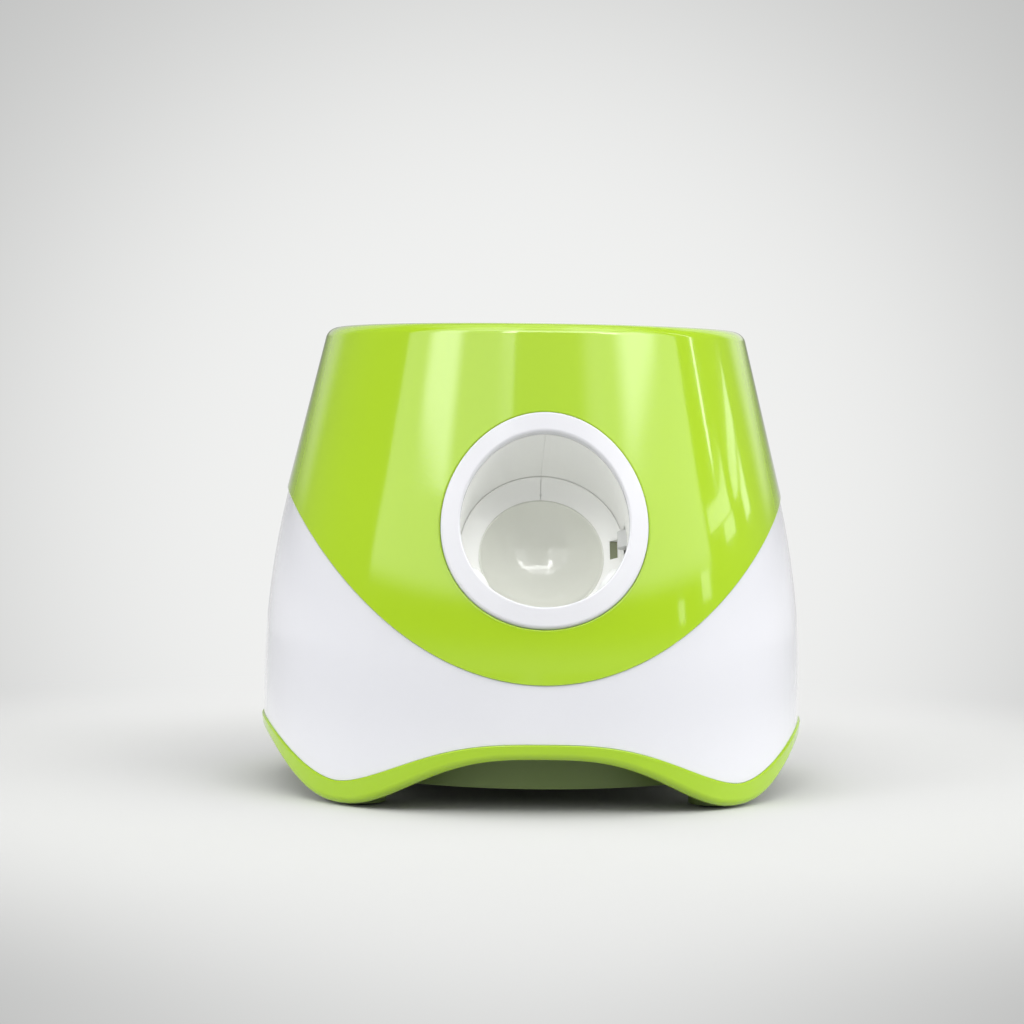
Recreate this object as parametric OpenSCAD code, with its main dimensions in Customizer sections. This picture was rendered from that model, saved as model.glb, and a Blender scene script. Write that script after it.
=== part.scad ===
// Automatic dog ball launcher: a round, two-colour housing with a ball hopper
// on top, a tilted launch barrel and a geared spring striker inside.
// Frame: +Z up, front (muzzle) faces -Y, origin on the floor under the centre.

/* [Body] */
// Height of the rim above the floor
body_h = 175; // [174:0.5:176.5]
// Largest radius of the housing
belly_r = 103.9; // [103.3:0.1:104.6]
// How much the upper wall leans in, mm per mm of height
wall_lean = 0.247; // [0.24:0.001:0.25]
// Wall thickness of both shells
wall_t = 2.6; // [2.2:0.1:2.8]
// How far the green shell stands proud of the white one
step_out = 0.7; // [0.5:0.1:0.9]

/* [Two-colour border] */
// Height of the lowest point of the green apron at the front
apron_z = 47.2; // [46:0.2:52]
// Height of the border at the middle of the back
back_border_z = 88; // [84:1:96]

/* [Base] */
// Height of the arch between two feet, to the underside of the trim
arch_h = 20.8; // [18:0.2:21]
// Height of the trim band over the arch
trim_arch = 5.6; // [5:0.1:6.4]
// Height of the trim band over a foot
trim_foot = 7.7; // [7.4:0.1:8.4]
// Thickness of the rubber foot pads below the trim
pad_t = 0.8; // [0.7:0.1:1.2]

/* [Barrel] */
// Elevation of the launch axis in degrees
tilt = 28; // [27.5:0.25:28.5]
// Bore radius of the barrel
bore_r = 30; // [29.6:0.1:30]
// Outer radius of the white muzzle ring
ring_r = 36.9; // [36.5:0.1:37.1]
// Bore radius of the ball chute
chute_r = 27; // [26.6:0.1:27]

/* [Striker] */
// Radius of the dish in the striker head, and of the sleeve behind it
head_r = 22.5; // [22.3:0.1:22.6]
// Radius of curvature of the dish
dish_r = 25; // [24.5:0.5:30]
// Outer radius of the flared rim of the striker head
flare_r = 29.6; // [29:0.1:29.7]
// Number of coils in the launch spring
coils = 12; // [10:1:13]
// Wire diameter of the launch spring
wire_d = 2.2; // [1.8:0.1:2.4]

/* [Gears] */
// Tooth backlash measured on the pitch line
backlash = 0.22; // [0.18:0.01:0.26]

/* [Hidden] */
$fn = 64;

green = "#a6d62f"; white = "#ececf1"; ivory = "#d9dad2"; steel = "#b9bcc0";
e = 0.01;
ce = cos(tilt); se = sin(tilt);
my = -95.4; mz = 104.8;               // centre of the muzzle on the wall

// ---- housing profile: radius of the white wall's outer face at height z
function lo(d) = belly_r - wall_lean * 37.5 + wall_lean * d - wall_lean * d * d / 150;
function rs(z) = z > 115 ? belly_r - wall_lean * 37.5 - wall_lean * (z - 115)
                         : lo(min(115 - z, 75));
zs = [0, 20, 40, 50, 60, 70, 80, 90, 100, 115, 169];
// solid of revolution bounded by the profile, pushed out by d
module body_solid(d, z0 = 0, z1 = 169) {
  zz = concat([z0], [for (z = zs) if (z > z0 && z < z1) z], [z1]);
  rotate_extrude($fn = 96)
    polygon(concat([[0, z0]], [for (z = zz) [rs(z) + d, z]], [[0, z1]]));
}
// border height over the front and the back
function bf(x) = apron_z + 0.0062 * x * x + 1.16e-7 * pow(x, 4);
function bb(x) = back_border_z + (bf(95.6) - back_border_z) * pow(x / 95.6, 2);
xs = concat([-112], [for (t = [-90:7.5:90]) 96.6 * sin(t)], [112]);
module above_border(d) {
  rotate([90, 0, 0]) linear_extrude(125)
    polygon(concat([for (x = xs) [x, bf(x) + d]], [[112, 220], [-112, 220]]));
  translate([0, 125, 0]) rotate([90, 0, 0]) linear_extrude(125)
    polygon(concat([for (x = xs) [x, bb(x) + d]], [[112, 220], [-112, 220]]));
}
// arch outlines under the body
function ss(t) = t <= 0 ? 0 : t >= 1 ? 1 : t * t * (3 - 2 * t);
function arch_lo(x) = pad_t + (arch_h - pad_t) * (1 - ss(pow(abs(x) / 71.5, 1.55)));
function arch_hi(x) = pad_t + trim_foot
  + (arch_h + trim_arch - pad_t - trim_foot) * (1 - ss(pow(abs(x) / 77, 1.55)));
axs = [for (x = [-78:6:78]) x];
module arch_prism(hi, d = 0) {
  for (a = [0, 90]) rotate([0, 0, a]) translate([0, 125, 0]) rotate([90, 0, 0])
    linear_extrude(250) polygon(concat([[-78, -5]],
      [for (x = axs) [x, (hi ? arch_hi(x) : arch_lo(x)) + d]], [[78, -5]]));
}

// ---- frames
// barrel frame: local z runs inward along the barrel, local y points down
module bar(u = 0) {
  translate([0, my, mz]) rotate([-(90 + tilt), 0, 0]) translate([0, 0, u]) children();
}
module tube(ro, ri, u0, u1) {
  bar(u0) difference() {
    cylinder(r = ro, h = u1 - u0);
    translate([0, 0, -1]) cylinder(r = ri, h = u1 - u0 + 2);
  }
}
// extrude a drawing in the Y-Z plane from x0 to x1
module yz(x0, x1) translate([x0, 0, 0]) rotate([90, 0, 90]) linear_extrude(x1 - x0) children();
// Y-Z drawing in barrel coordinates (u along the barrel, w up from it)
module uw() translate([my, mz]) rotate(-tilt) children();
function uy(u, w) = my + u * ce + w * se;
function uz(u, w) = mz - u * se + w * ce;
// rod along X
module xrod(y, z, r, x0, x1) translate([x0, y, z]) rotate([0, 90, 0]) cylinder(r = r, h = x1 - x0);
// round lead along a cubic curve with four control points
module lead(p0, p1, p2, p3, r) {
  n = 14; k = 8;
  function bz(t) = pow(1 - t, 3) * p0 + 3 * t * pow(1 - t, 2) * p1 + 3 * t * t * (1 - t) * p2 + pow(t, 3) * p3;
  function tg(t) = let (q = bz(min(1, t + 0.01)) - bz(max(0, t - 0.01))) q / norm(q);
  pts = [for (i = [0:n]) let (t = i / n, d = tg(t), a = cross(d, [0, 0, 1]), u = a / norm(a), v = cross(d, u))
    for (j = [0:k - 1]) bz(t) + r * cos(360 * j / k) * u + r * sin(360 * j / k) * v];
  fcs = concat([[for (j = [0:k - 1]) j]],
    [for (i = [0:n - 1]) for (j = [0:k - 1]) [i * k + j, (i + 1) * k + j, (i + 1) * k + (j + 1) % k]],
    [for (i = [0:n - 1]) for (j = [0:k - 1]) [i * k + j, (i + 1) * k + (j + 1) % k, i * k + (j + 1) % k]],
    [[for (j = [k - 1:-1:0]) n * k + j]]);
  polyhedron(pts, fcs);
}

// ---- gear train, all axles along X
pa = 25;
sec_r = 15; stroke = 20 * PI; u_g = 98; rack_w = -3;
SY = uy(u_g, rack_w - sec_r); SZ = uz(u_g, rack_w - sec_r);
m2 = 0.8;
CY = SY + 22.4 * cos(200); CZ = SZ + 22.4 * sin(200);
PY = CY + 20 * cos(70); PZ = CZ + 20 * sin(70);
function deg(a) = a * 180 / PI;
function inv(a) = tan(a) - a * PI / 180;
// half angle of an involute tooth at radius r
function half(m, n, r) = let (rp = m * n / 2, rb = rp * cos(pa), q = max(r, rb))
  90 / n + deg(inv(pa)) - deg(inv(acos(min(1, rb / q)))) - deg(backlash / 2 / rp);
function tooth(m, n, a) = let (rp = m * n / 2, rt = rp + 0.8 * m, rf = rp - 1.2 * m, rb = max(rf, rp * cos(pa)),
  q = [rf, rb, (rb + rp) / 2, rp, (rp + rt) / 2, rt])
  concat([for (i = [0:5]) [q[i] * cos(a - half(m, n, q[i])), q[i] * sin(a - half(m, n, q[i]))]],
         [for (i = [5:-1:0]) [q[i] * cos(a + half(m, n, q[i])), q[i] * sin(a + half(m, n, q[i]))]]);
// gear outline with n teeth, one tooth centred on angle a; only the first k teeth are cut
module gear2d(m, n, a, k = 0) {
  circle(r = m * n / 2 - 1.2 * m + 0.02, $fn = 48);
  for (i = [0:(k > 0 ? k : n) - 1]) polygon(concat([[0, 0]], tooth(m, n, a + i * 360 / n)));
}

// ================= housing =================
module upper_shell() {
  g = step_out - 0.2; rc = 5; zc = body_h - rc;
  ro = rs(zc) + g;
  inn = g - wall_t;
  color(green) union() {
    difference() {
      intersection() {
        difference() {
          rotate_extrude($fn = 96) polygon(concat(
            [for (z = [40, 50, 60, 70, 80, 90, 100, 115]) [rs(z) + g, z]],
            [for (a = [0:18:90]) [ro - rc + rc * cos(a), zc + rc * sin(a)]],
            [[74.6, body_h], [74.2, body_h - 0.4], [74.2, body_h - 2.6], [ro - rc, body_h - 2.6],
             [ro - wall_t - 0.2, body_h - 5.2]],
            [for (z = [115, 100, 90, 80, 70, 60, 50, 40]) [rs(z) + inn, z]]));
        }
        above_border(0);
      }
      bar(-30) cylinder(r = ring_r + 0.35, h = 60);
    }
    // bosses that take the hopper screws
    for (a = [45:90:315]) rotate([0, 0, a]) translate([76.2, 0, body_h - 6.9]) difference() {
      cylinder(r = 2.3, h = 4.8, $fn = 24);
      translate([0, 0, -1]) cylinder(r = 1.0, h = 4.8, $fn = 24);
    }
  }
}

module lower_shell() {
  color(white) union() {
    difference() {
      body_solid(-0.2, 8, 125);
      body_solid(-0.2 - wall_t, 7, 126);
      above_border(-0.25);
      translate([0, 0, 0]) arch_prism(true, 0.05);
      translate([0, 0, -1]) cylinder(r = 130, h = 1 + pad_t + trim_foot + 0.05);
      // control panel window and power inlet hole at the back
      translate([-32.3, 80, 44.7]) cube([64.6, 40, 28.6]);
      translate([0, 120, 33]) rotate([90, 0, 0]) cylinder(r = 6.3, h = 40);
    }
    // lip that reaches up behind the green shell
    difference() {
      body_solid(step_out - 0.2 - wall_t - 0.15, 40, 135);
      body_solid(step_out - 0.2 - wall_t - 2, 39, 136);
      above_border(6);
      difference() { translate([-130, -130, 0]) cube([260, 260, 200]); above_border(-7); }
      bar(-30) cylinder(r = ring_r + 0.35, h = 60);
    }
    // tabs that take the case screws
    for (a = [45:90:315]) rotate([0, 0, a]) translate([0, 0, 33]) difference() {
      intersection() {
        translate([84, -7, 0]) cube([20, 14, 4]);
        cylinder(r = 101.5, h = 4);
      }
      translate([91, 0, -1]) cylinder(r = 1.3, h = 6, $fn = 24);
    }
  }
}

module base_trim() {
  ri = rs(30) - 0.2 - wall_t - 0.1;
  color(green) difference() {
    union() {
      intersection() {
        rotate_extrude($fn = 96) polygon([[ri, pad_t], [rs(8) - 1.2, pad_t], [rs(8) + 0.3, pad_t + 1.2],
          [rs(20) + 0.6, pad_t + 3.2], [rs(30) + 0.6, 32], [ri, 32]]);
        union() { arch_prism(true, -0.05); translate([0, 0, 0]) cylinder(r = 130, h = pad_t + trim_foot); }
      }
    }
    arch_prism(false);
  }
}

// floor of the tray and the ring round it, which rises over the arches
module tray_body() {
  ro = rs(30) - 0.2 - wall_t - 0.4;
  difference() {
    translate([0, 0, 8]) cylinder(r = ro, h = 24, $fn = 96);
    difference() {
      arch_prism(false, 2);
      cylinder(r = 84, h = 60, $fn = 96);
    }
    difference() {
      translate([0, 0, 10.4]) cylinder(r = ro - 2.2, h = 24, $fn = 96);
      difference() {
        arch_prism(false, 4.4);
        cylinder(r = 81.8, h = 60, $fn = 96);
      }
    }
  }
}
module tray_posts() {
  for (a = [45:90:315]) rotate([0, 0, a]) translate([91, 0, 0]) children();
}
module base_tray() {
  color("#7fae22") difference() {
    union() {
      intersection() {
        tray_body();
        cylinder(r = 84, h = 60, $fn = 96);
      }
      // runners of the battery door
      for (s = [-1, 1]) {
        translate([-74, s > 0 ? 31.3 : -33.9, 3.6]) cube([38, 2.6, 4.6]);
        translate([-74, s > 0 ? 29.3 : -33.9, 3.6]) cube([38, 4.6, 1.4]);
      }
      // stop behind the battery door
      translate([-35.6, -33.9, 3.6]) cube([2, 67.8, 4.6]);
    }
    tray_posts() translate([0, 0, -1]) cylinder(r = 9.1, h = 40);
    // battery opening
    translate([-71.4, -28, 7]) cube([32.2, 56, 5]);
  }
}
module tray_rim() {
  color("#7fae22") difference() {
    union() {
      difference() {
        tray_body();
        translate([0, 0, -1]) cylinder(r = 84.05, h = 60, $fn = 96);
      }
      tray_posts() {
        translate([0, 0, pad_t]) cylinder(r = 9, h = 10 - pad_t);
        translate([0, 0, 8]) cylinder(r = 4.4, h = 24.9);
      }
    }
    tray_posts() {
      translate([0, 0, pad_t - 1]) cylinder(r = 7.6, h = 2);
      translate([0, 0, 0]) cylinder(r = 3.1, h = 6.1);
      translate([0, 0, 5]) cylinder(r = 1.6, h = 40, $fn = 24);
    }
    // hole for the power inlet
    translate([0, 110, 33]) rotate([90, 0, 0]) cylinder(r = 6.3, h = 40);
  }
}

module foot_pads() {
  color("#3a3b3d") for (a = [45:90:315]) rotate([0, 0, a]) translate([91, 0, 0]) difference() {
    rotate_extrude() polygon([[0, 0], [6.6, 0], [7.4, 0.8], [7.4, pad_t + 0.95], [0, pad_t + 0.95]]);
  }
}

module case_screws() {
  color(steel) for (a = [45:90:315]) rotate([0, 0, a]) translate([91, 0, 0]) difference() {
    union() {
      translate([0, 0, 3.4]) cylinder(r = 2.8, h = 2.6, $fn = 32);
      translate([0, 0, 5.9]) cylinder(r = 1.3, h = 30.6, $fn = 24);
    }
    for (b = [0, 90]) rotate([0, 0, b]) translate([-1.8, -0.3, 3]) cube([3.6, 0.6, 1.4]);
  }
}

// ================= hopper =================
module hopper_bowl() {
  t = body_h - 1.6;
  color(white) difference() {
  rotate_extrude($fn = 96) polygon([
    [73.9, t], [73.9, t - 6.4], [78.4, t - 6.6], [78.4, t - 8.8], [73.9, t - 9], [73.4, 152],
    [66, 142.5], [31, 125.2], [29.6, 123.2], [29.6, 121.4], [27.6, 121.4], [27.6, 124.6],
    [30, 127.2], [64.6, 144.3], [71.4, 153], [71.6, t - 0.6], [72.2, t]]);
    for (a = [45:90:315]) rotate([0, 0, a]) translate([76.2, 0, t - 12]) cylinder(r = 1.05, h = 8, $fn = 24);
  }
}
module hopper_screws() {
  z = body_h - 1.6 - 9;
  color(steel) for (a = [45:90:315]) rotate([0, 0, a]) translate([76.2, 0, 0]) {
    translate([0, 0, z - 1.4]) cylinder(r = 1.9, h = 1.38, $fn = 24);
    translate([0, 0, z - 0.1]) cylinder(r = 0.98, h = 6, $fn = 24);
  }
}

// ================= barrel =================
module muzzle_ring() {
  color("#f4f4f8") difference() {
    intersection() {
      bar(-20) cylinder(r = ring_r, h = 32.4, $fn = 96);
      body_solid(step_out + 1.0, 40, 165);
    }
    bar(-30) cylinder(r = bore_r, h = 60, $fn = 96);
    intersection() {
      bar(-30) cylinder(r = bore_r + 2.55, h = 60, $fn = 96);
      body_solid(-1.2, 30, 165);
    }
  }
}
u_c = 42.5 + chute_r;                 // chute axis along the barrel
u_f = 31;                             // face of the striker at rest
ly = -7.5;                            // height of the ball sensor, below the barrel axis
module chute(r, w0, w1) {
  translate([0, uy(u_c, w0), uz(u_c, w0)]) rotate([-tilt, 0, 0]) cylinder(r = r, h = w1 - w0);
}
module barrel_raw() {
  difference() {
    union() {
      intersection() {
        bar(-25) cylinder(r = bore_r + 2.5, h = 127, $fn = 96);
        body_solid(-1.3, 20, 165);
      }
      bar(101) cylinder(r = 26.4, h = 50);
      chute(chute_r + 2.4, 10, 66);
      // feet of the barrel on the saddles
    }
    bar(-30) cylinder(r = bore_r, h = 129.8, $fn = 96);
    bar(90) cylinder(r = 24, h = 70);
    chute(chute_r, 5, 70);
    translate([-60, -60, 121]) cube([120, 120, 60]);
    // guide slots for the striker lugs
    bar(53.2) translate([-45, -3.25, 0]) cube([90, 6.5, 91]);
    // window of the ball sensor in the right wall
    bar(15.2) translate([26, 1 + ly, 0]) cube([10, 8.6, 17.8]);
    // pockets of the two ball rests
    for (s = [-1, 1]) bar(17.4) rotate([0, 0, s > 0 ? 35 : 145]) rotate([0, 90, 0]) translate([0, 0, 26]) cylinder(r = 6.5, h = 10);
  }
}
module barrel_left() {
  color(ivory) intersection() {
    barrel_raw();
    translate([-50, -130, 0]) cube([50 - 0.03, 260, 160]);
  }
}
module barrel_right() {
  color(ivory) union() {
    intersection() {
      barrel_raw();
      translate([0.03, -130, 0]) cube([50, 260, 160]);
    }
    // ears that hold the sensor pin
    for (y = [0.2 + ly, 9.2 + ly]) bar(13.5) difference() {
      translate([31, y, -0.5]) cube([9, 1.2, 6]);
      translate([37, y - 1, 2.5]) rotate([-90, 0, 0]) cylinder(r = 1.01, h = 4, $fn = 32);
    }
  }
}
module ball_rest(s) {
  color("#e4e4df") bar(17.4) rotate([0, 0, s > 0 ? 35 : 145]) rotate([0, 90, 0]) rotate_extrude()
    polygon([[0, 26], [2, 26.1], [3.6, 26.5], [5, 27.3], [5.9, 28.4], [6.2, 29.6], [6.2, 32.2], [0, 32.2]]);
}
module ball_rest_left() ball_rest(-1);
module ball_rest_right() ball_rest(1);

module saddle(y, t, w, h) {
  difference() {
    translate([-w, y, 10.4]) cube([2 * w, t, h]);
    bar(0) cylinder(r = bore_r + 2.52, h = 102.1, $fn = 96);
    bar(100) cylinder(r = 26.42, h = 60);
    translate([-w + 5, y - 1, 14]) cube([5, t + 2, 8]);
    translate([w - 10, y - 1, 14]) cube([5, t + 2, 8]);
  }
}
module front_saddle() color(ivory) union() {
  saddle(-56, 4, 26, 46);
  translate([-26, -60, 10.4]) cube([52, 12, 2.4]);
}
module rear_saddle() color(ivory) intersection() {
  saddle(16, 4, 22, 26);
  translate([-30, 0, 0]) cube([60, 60, 60]);
}

// ================= striker =================
module striker_head() {
  color("#e9e9e2") difference() {
    union() {
      bar(u_f - 6.4) rotate_extrude($fn = 96) polygon([[0, 5.6], [head_r + 0.3, 5.6], [flare_r - 0.7, 0],
        [flare_r, 0.5], [flare_r, 5.2], [head_r, 12], [head_r, 17], [0, 17]]);
      bar(u_f + 10) cylinder(r = 19.9, h = 5, $fn = 64);
    }
    bar(u_f - 0.9 - sqrt(dish_r * dish_r - (head_r - 0.3) * (head_r - 0.3))) sphere(r = dish_r, $fn = 96);
    bar(u_f + 14.2) cylinder(r = 15, h = 5);
  }
}
module striker_sleeve() {
  color(ivory) union() {
    tube(head_r, 20, u_f + 10.7, u_f + 53);
    // tongue that keeps the next ball out while the striker is forward
    intersection() {
      tube(head_r, 20, u_f + 50, u_f + 67.5);
      bar(u_f + 49) translate([-16, -24, 0]) cube([32, 12, 20]);
    }
    for (s = [-1, 1]) bar(u_f + 23) translate([s > 0 ? 20.8 : -35.2, -2.9, 0]) difference() {
      cube([14.4, 5.8, 26]);
      if (s > 0) for (u = [6, 20]) translate([8, 2.9, u]) rotate([0, 90, 0]) cylinder(r = 0.9, h = 8, $fn = 24);
    }
  }
}
module rack2d() {
  n = 21; hw = PI / 4 - backlash / 4; ta = tan(pa);
  polygon([[u_g - n * PI - 0.4, rack_w + 1.19], [u_g + 3.6, rack_w + 1.19], [u_g + 3.6, 3], [u_g - n * PI - 0.4, 3]]);
  for (k = [-n:0]) translate([u_g + (k + 0.5) * PI, rack_w])
    polygon([[-hw - 1.21 * ta, 1.21], [-hw + 0.8 * ta, -0.8], [hw - 0.8 * ta, -0.8], [hw + 1.21 * ta, 1.21]]);
}
module drive_rack() {
  color("#c9cbc6") difference() {
    yz(35.25, 41) uw() rack2d();
    for (u = [6, 20]) bar(u_f + 23 + u) rotate([0, 90, 0]) translate([0, 0, 35]) cylinder(r = 1.1, h = 8, $fn = 24);
  }
}
module rack_screws() {
  color(steel) for (u = [6, 20]) bar(u_f + 23 + u) rotate([0, 90, 0]) {
    translate([0, 0, 29]) cylinder(r = 0.9, h = 12.1, $fn = 24);
    translate([0, 0, 41.02]) cylinder(r = 1.9, h = 0.9, $fn = 24);
  }
}
s_u0 = u_f + 17.2; s_u1 = 147.4; s_r = 17.4;
module launch_spring() {
  n = 14 * coils; L = s_u1 - s_u0 - wire_d;
  function sp(i) = let (t = i / n, a = 360 * coils * t) [s_r * cos(a), s_r * sin(a), L * t];
  k = 8;
  pts = [for (i = [0:n]) let (a = 360 * coils * i / n, p = sp(i))
    for (j = [0:k - 1]) let (b = 360 * j / k)
      [p[0] + wire_d / 2 * cos(b) * cos(a), p[1] + wire_d / 2 * cos(b) * sin(a), p[2] + wire_d / 2 * sin(b)]];
  fcs = concat([[for (j = [0:k - 1]) j]],
    [for (i = [0:n - 1]) for (j = [0:k - 1]) [i * k + j, (i + 1) * k + j, (i + 1) * k + (j + 1) % k]],
    [for (i = [0:n - 1]) for (j = [0:k - 1]) [i * k + j, (i + 1) * k + (j + 1) % k, i * k + (j + 1) % k]],
    [[for (j = [k - 1:-1:0]) n * k + j]]);
  color(steel) bar(s_u0 + wire_d / 2) polyhedron(pts, fcs);
}
module spring_seat() {
  color(ivory) difference() {
    union() {
      bar(147.6) cylinder(r = 23.98, h = 3.4);
      bar(142.6) cylinder(r = 15.4, h = 5.2);
    }
    bar(140) cylinder(r = 8, h = 20);
    bar(140) difference() {
      translate([-16.8, -26, 0]) cube([33.6, 15, 20]);
      translate([0, 0, -1]) cylinder(r = 19.6, h = 22);
    }
  }
}

// ================= gearbox =================
module hub(y, z, r, b, x0, x1) difference() { xrod(y, z, r, x0, x1); xrod(y, z, b, x0 - 1, x1 + 1); }
module sector_gear() {
  color("#d8d4c4") difference() {
    union() {
      yz(35.9, 40.9) translate([SY, SZ]) gear2d(1, 30, 90 - tilt, 21);
      xrod(SY, SZ, 6, 35.9, 43);
    }
    xrod(SY, SZ, 2.5, 30, 60);
  }
}
module sector_wheel() {
  color("#d8d4c4") difference() {
    union() {
      yz(43, 47) translate([SY, SZ]) gear2d(m2, 44, 200);
      xrod(SY, SZ, 5, 47, 52.4);
    }
    xrod(SY, SZ, 2.5, 30, 60);
    for (a = [0:72:288]) xrod(SY + 11 * cos(a), SZ + 11 * sin(a), 2.6, 40, 50);
  }
}
module sector_shaft() color(steel) xrod(SY, SZ, 2.5, 33.4, 55.4);
module compound_gear() {
  color("#d8d4c4") difference() {
    union() {
      yz(42.6, 48.1) translate([CY, CZ]) gear2d(m2, 12, 20 + 15);
      yz(48, 52) translate([CY, CZ]) gear2d(m2, 40, 70);
    }
    xrod(CY, CZ, 1.5, 30, 60);
    for (a = [20:72:320]) xrod(CY + 10.2 * cos(a), CZ + 10.2 * sin(a), 2.4, 48.2, 60);
  }
}
module compound_shaft() color(steel) xrod(CY, CZ, 1.5, 33.4, 55.4);
module motor_pinion() {
  color("#c8a24a") difference() {
    yz(48, 52) translate([PY, PZ]) gear2d(m2, 10, 250 + 18);
    xrod(PY, PZ, 1.0, 40, 60);
  }
}
module motor_shaft() color(steel) xrod(PY, PZ, 1.0, 48, 56.9);
module gear_bushes() {
  color("#c8a24a") {
    for (x = [33.3, 53]) {
      hub(SY, SZ, 4, 2.56, x, x + 2.2);
      hub(CY, CZ, 3, 1.56, x, x + 2.2);
    }
  }
}
gp = [[-57, 12], [10, 12]];
module gearbox_inner_plate() {
  color(ivory) difference() {
    union() {
      yz(33.3, 34.9) polygon([[-60, 10.4], [8, 10.4], [8, 43], [-18, 54], [-60, 72]]);
      translate([26, -46, 10.4]) cube([8.9, 50, 2]);
    }
    xrod(SY, SZ, 4, 30, 36); xrod(CY, CZ, 3, 30, 36);
    for (q = gsp) xrod(q[0], q[1], 1.1, 30, 36);
    bar(0) cylinder(r = bore_r + 2.8, h = 120, $fn = 96);
  }
}
gsp = [[-56, 16], [4, 16], [-56, 64], [4, 40]];
module gearbox_outer_plate() {
  color(ivory) difference() {
    union() {
      yz(53, 55) polygon([[-60, 10.4], [8, 10.4], [8, 68], [-60, 72]]);
      translate([53, -46, 10.4]) cube([9, 50, 2]);
    }
    xrod(SY, SZ, 4, 50, 58); xrod(CY, CZ, 3, 50, 58);
    xrod(PY, PZ, 3.2, 50, 58);
    for (a = [0, 180]) xrod(PY + 8 * cos(a), PZ + 8 * sin(a), 1.3, 50, 58);
    for (q = gsp) xrod(q[0], q[1], 1.1, 50, 58);
  }
}
module gearbox_spacers() color(steel) for (q = gsp) hub(q[0], q[1], 2.6, 1.0, 34.9, 53);
module gearbox_screws() color(steel) for (q = gsp) {
  xrod(q[0], q[1], 1.0, 45, 55.1); xrod(q[0], q[1], 2, 55.02, 56.4);
}
module drive_motor() {
  color("#a9acb0") difference() {
    union() {
      xrod(PY, PZ, 12.2, 55.02, 83);
      xrod(PY, PZ, 3.1, 53.4, 55.1);
      xrod(PY, PZ, 4, 82.9, 85);
    }
    for (a = [0, 180]) xrod(PY + 8 * cos(a), PZ + 8 * sin(a), 1.1, 50, 60);
    xrod(PY, PZ, 1.06, 50, 57);
  }
}
module motor_screws() color(steel) for (a = [0, 180]) {
  xrod(PY + 8 * cos(a), PZ + 8 * sin(a), 1.08, 52.9, 58);
  xrod(PY + 8 * cos(a), PZ + 8 * sin(a), 2, 52.3, 52.98);
}
module motor_leads() color("#b8322a") for (k = [0, 1])
  lead([85.9, PY + 1.6, PZ + 2.2 - 4.4 * k], [95, PY + 6, PZ + 8 - 6 * k], [78, 52, 72 - 6 * k], [30 - 4 * k, 84.2, 66 - 4 * k], 0.8);

// ================= ball sensor =================
module sensor_lever() {
  color("#cfcfc8") difference() {
    union() {
      bar(16) translate([37, 1.7 + ly, 0]) rotate([-90, 0, 0]) cylinder(r = 2.3, h = 7, $fn = 32);
      // arm: from the hub back through the window into the bore
      bar(16) translate([37, 1.9 + ly, 0]) rotate([-90, 0, 0]) linear_extrude(6.6)
        polygon([[-2.2, 0.6], [0.6, -2.2], [-7.6, -5.6], [-9.4, -5.2], [-10.0, -4.2], [-9.4, -3.2]]);
    }
    bar(16) translate([37, ly, 0]) rotate([-90, 0, 0]) cylinder(r = 1.05, h = 12, $fn = 32);
  }
}
module sensor_pin() color(steel) bar(16) translate([37, ly - 0.2, 0]) rotate([-90, 0, 0]) cylinder(r = 1, h = 12.8, $fn = 32);
module sensor_spring() color(steel) bar(16) translate([37, 10.5 + ly, 0]) rotate([-90, 0, 0])
  for (k = [0:2]) translate([0, 0, 0.3 + k * 0.55]) rotate_extrude($fn = 32) translate([1.5, 0]) circle(r = 0.25, $fn = 16);
module sensor_board() {
  color("#2f6b3c") union() {
    bar(19) translate([44.6, -3 + ly, 0]) cube([1.4, 15, 20]);
    bar(22) translate([42.0, 1.5 + ly, 0]) cube([2.7, 7, 6]);
  }
}

// ================= controls at the back =================
py0 = 94;
module control_panel() {
  color("#3c3f44") difference() {
    intersection() {
      translate([-32, 88, 45]) cube([64, 30, 28]);
      body_solid(-0.6, 30, 90);
    }
    translate([-30, py0 + 2, 47]) cube([60, 40, 24]);
    translate([-30, 70, 47]) cube([60, py0 - 70, 24]);
    for (x = [-18, 18]) translate([x, 120, 59]) rotate([90, 0, 0]) cylinder(r = 6.3, h = 60);
    for (x = [-5, 0, 5]) translate([x, 120, 59]) rotate([90, 0, 0]) cylinder(r = 1.5, h = 60, $fn = 32);
  }
}
module button(x) {
  translate([x, 0, 59]) rotate([-90, 0, 0]) {
    translate([0, 0, py0 - 1.6]) cylinder(r = 7.4, h = 1.3);
    translate([0, 0, py0 - 0.4]) rotate_extrude() polygon([[0, 0], [5.95, 0], [5.95, 4], [5.2, 4.8], [0, 5.1]]);
    translate([0, 0, py0 - 4.2]) cylinder(r = 1.6, h = 4);
  }
}
module power_button() color("#e34b3a") button(18);
module distance_button() color("#eceff2") button(-18);
module button_springs() color(steel) for (x = [-18, 18]) translate([x, 0, 59]) rotate([-90, 0, 0])
  for (k = [0:2]) translate([0, 0, 89.3 + k * 0.75]) rotate_extrude($fn = 32) translate([3.6, 0]) circle(r = 0.28, $fn = 16);
module led_lenses() color("#f4f7e0") for (x = [-5, 0, 5]) translate([x, 0, 59]) rotate([-90, 0, 0])
  translate([0, 0, py0 - 3]) rotate_extrude($fn = 32) polygon([[0, 0], [2.2, 0], [2.2, 2.95], [1.46, 2.95], [1.46, 5.0], [0.9, 5.5], [0, 5.6]]);
module control_board() {
  color("#2f6b3c") difference() {
    translate([-38, 85.2, 40]) cube([76, 1.6, 38]);
    for (x = [-34, 34]) for (z = [44, 74]) translate([x, 90, z]) rotate([90, 0, 0]) cylinder(r = 1.3, h = 10, $fn = 24);
  }
}
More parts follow.
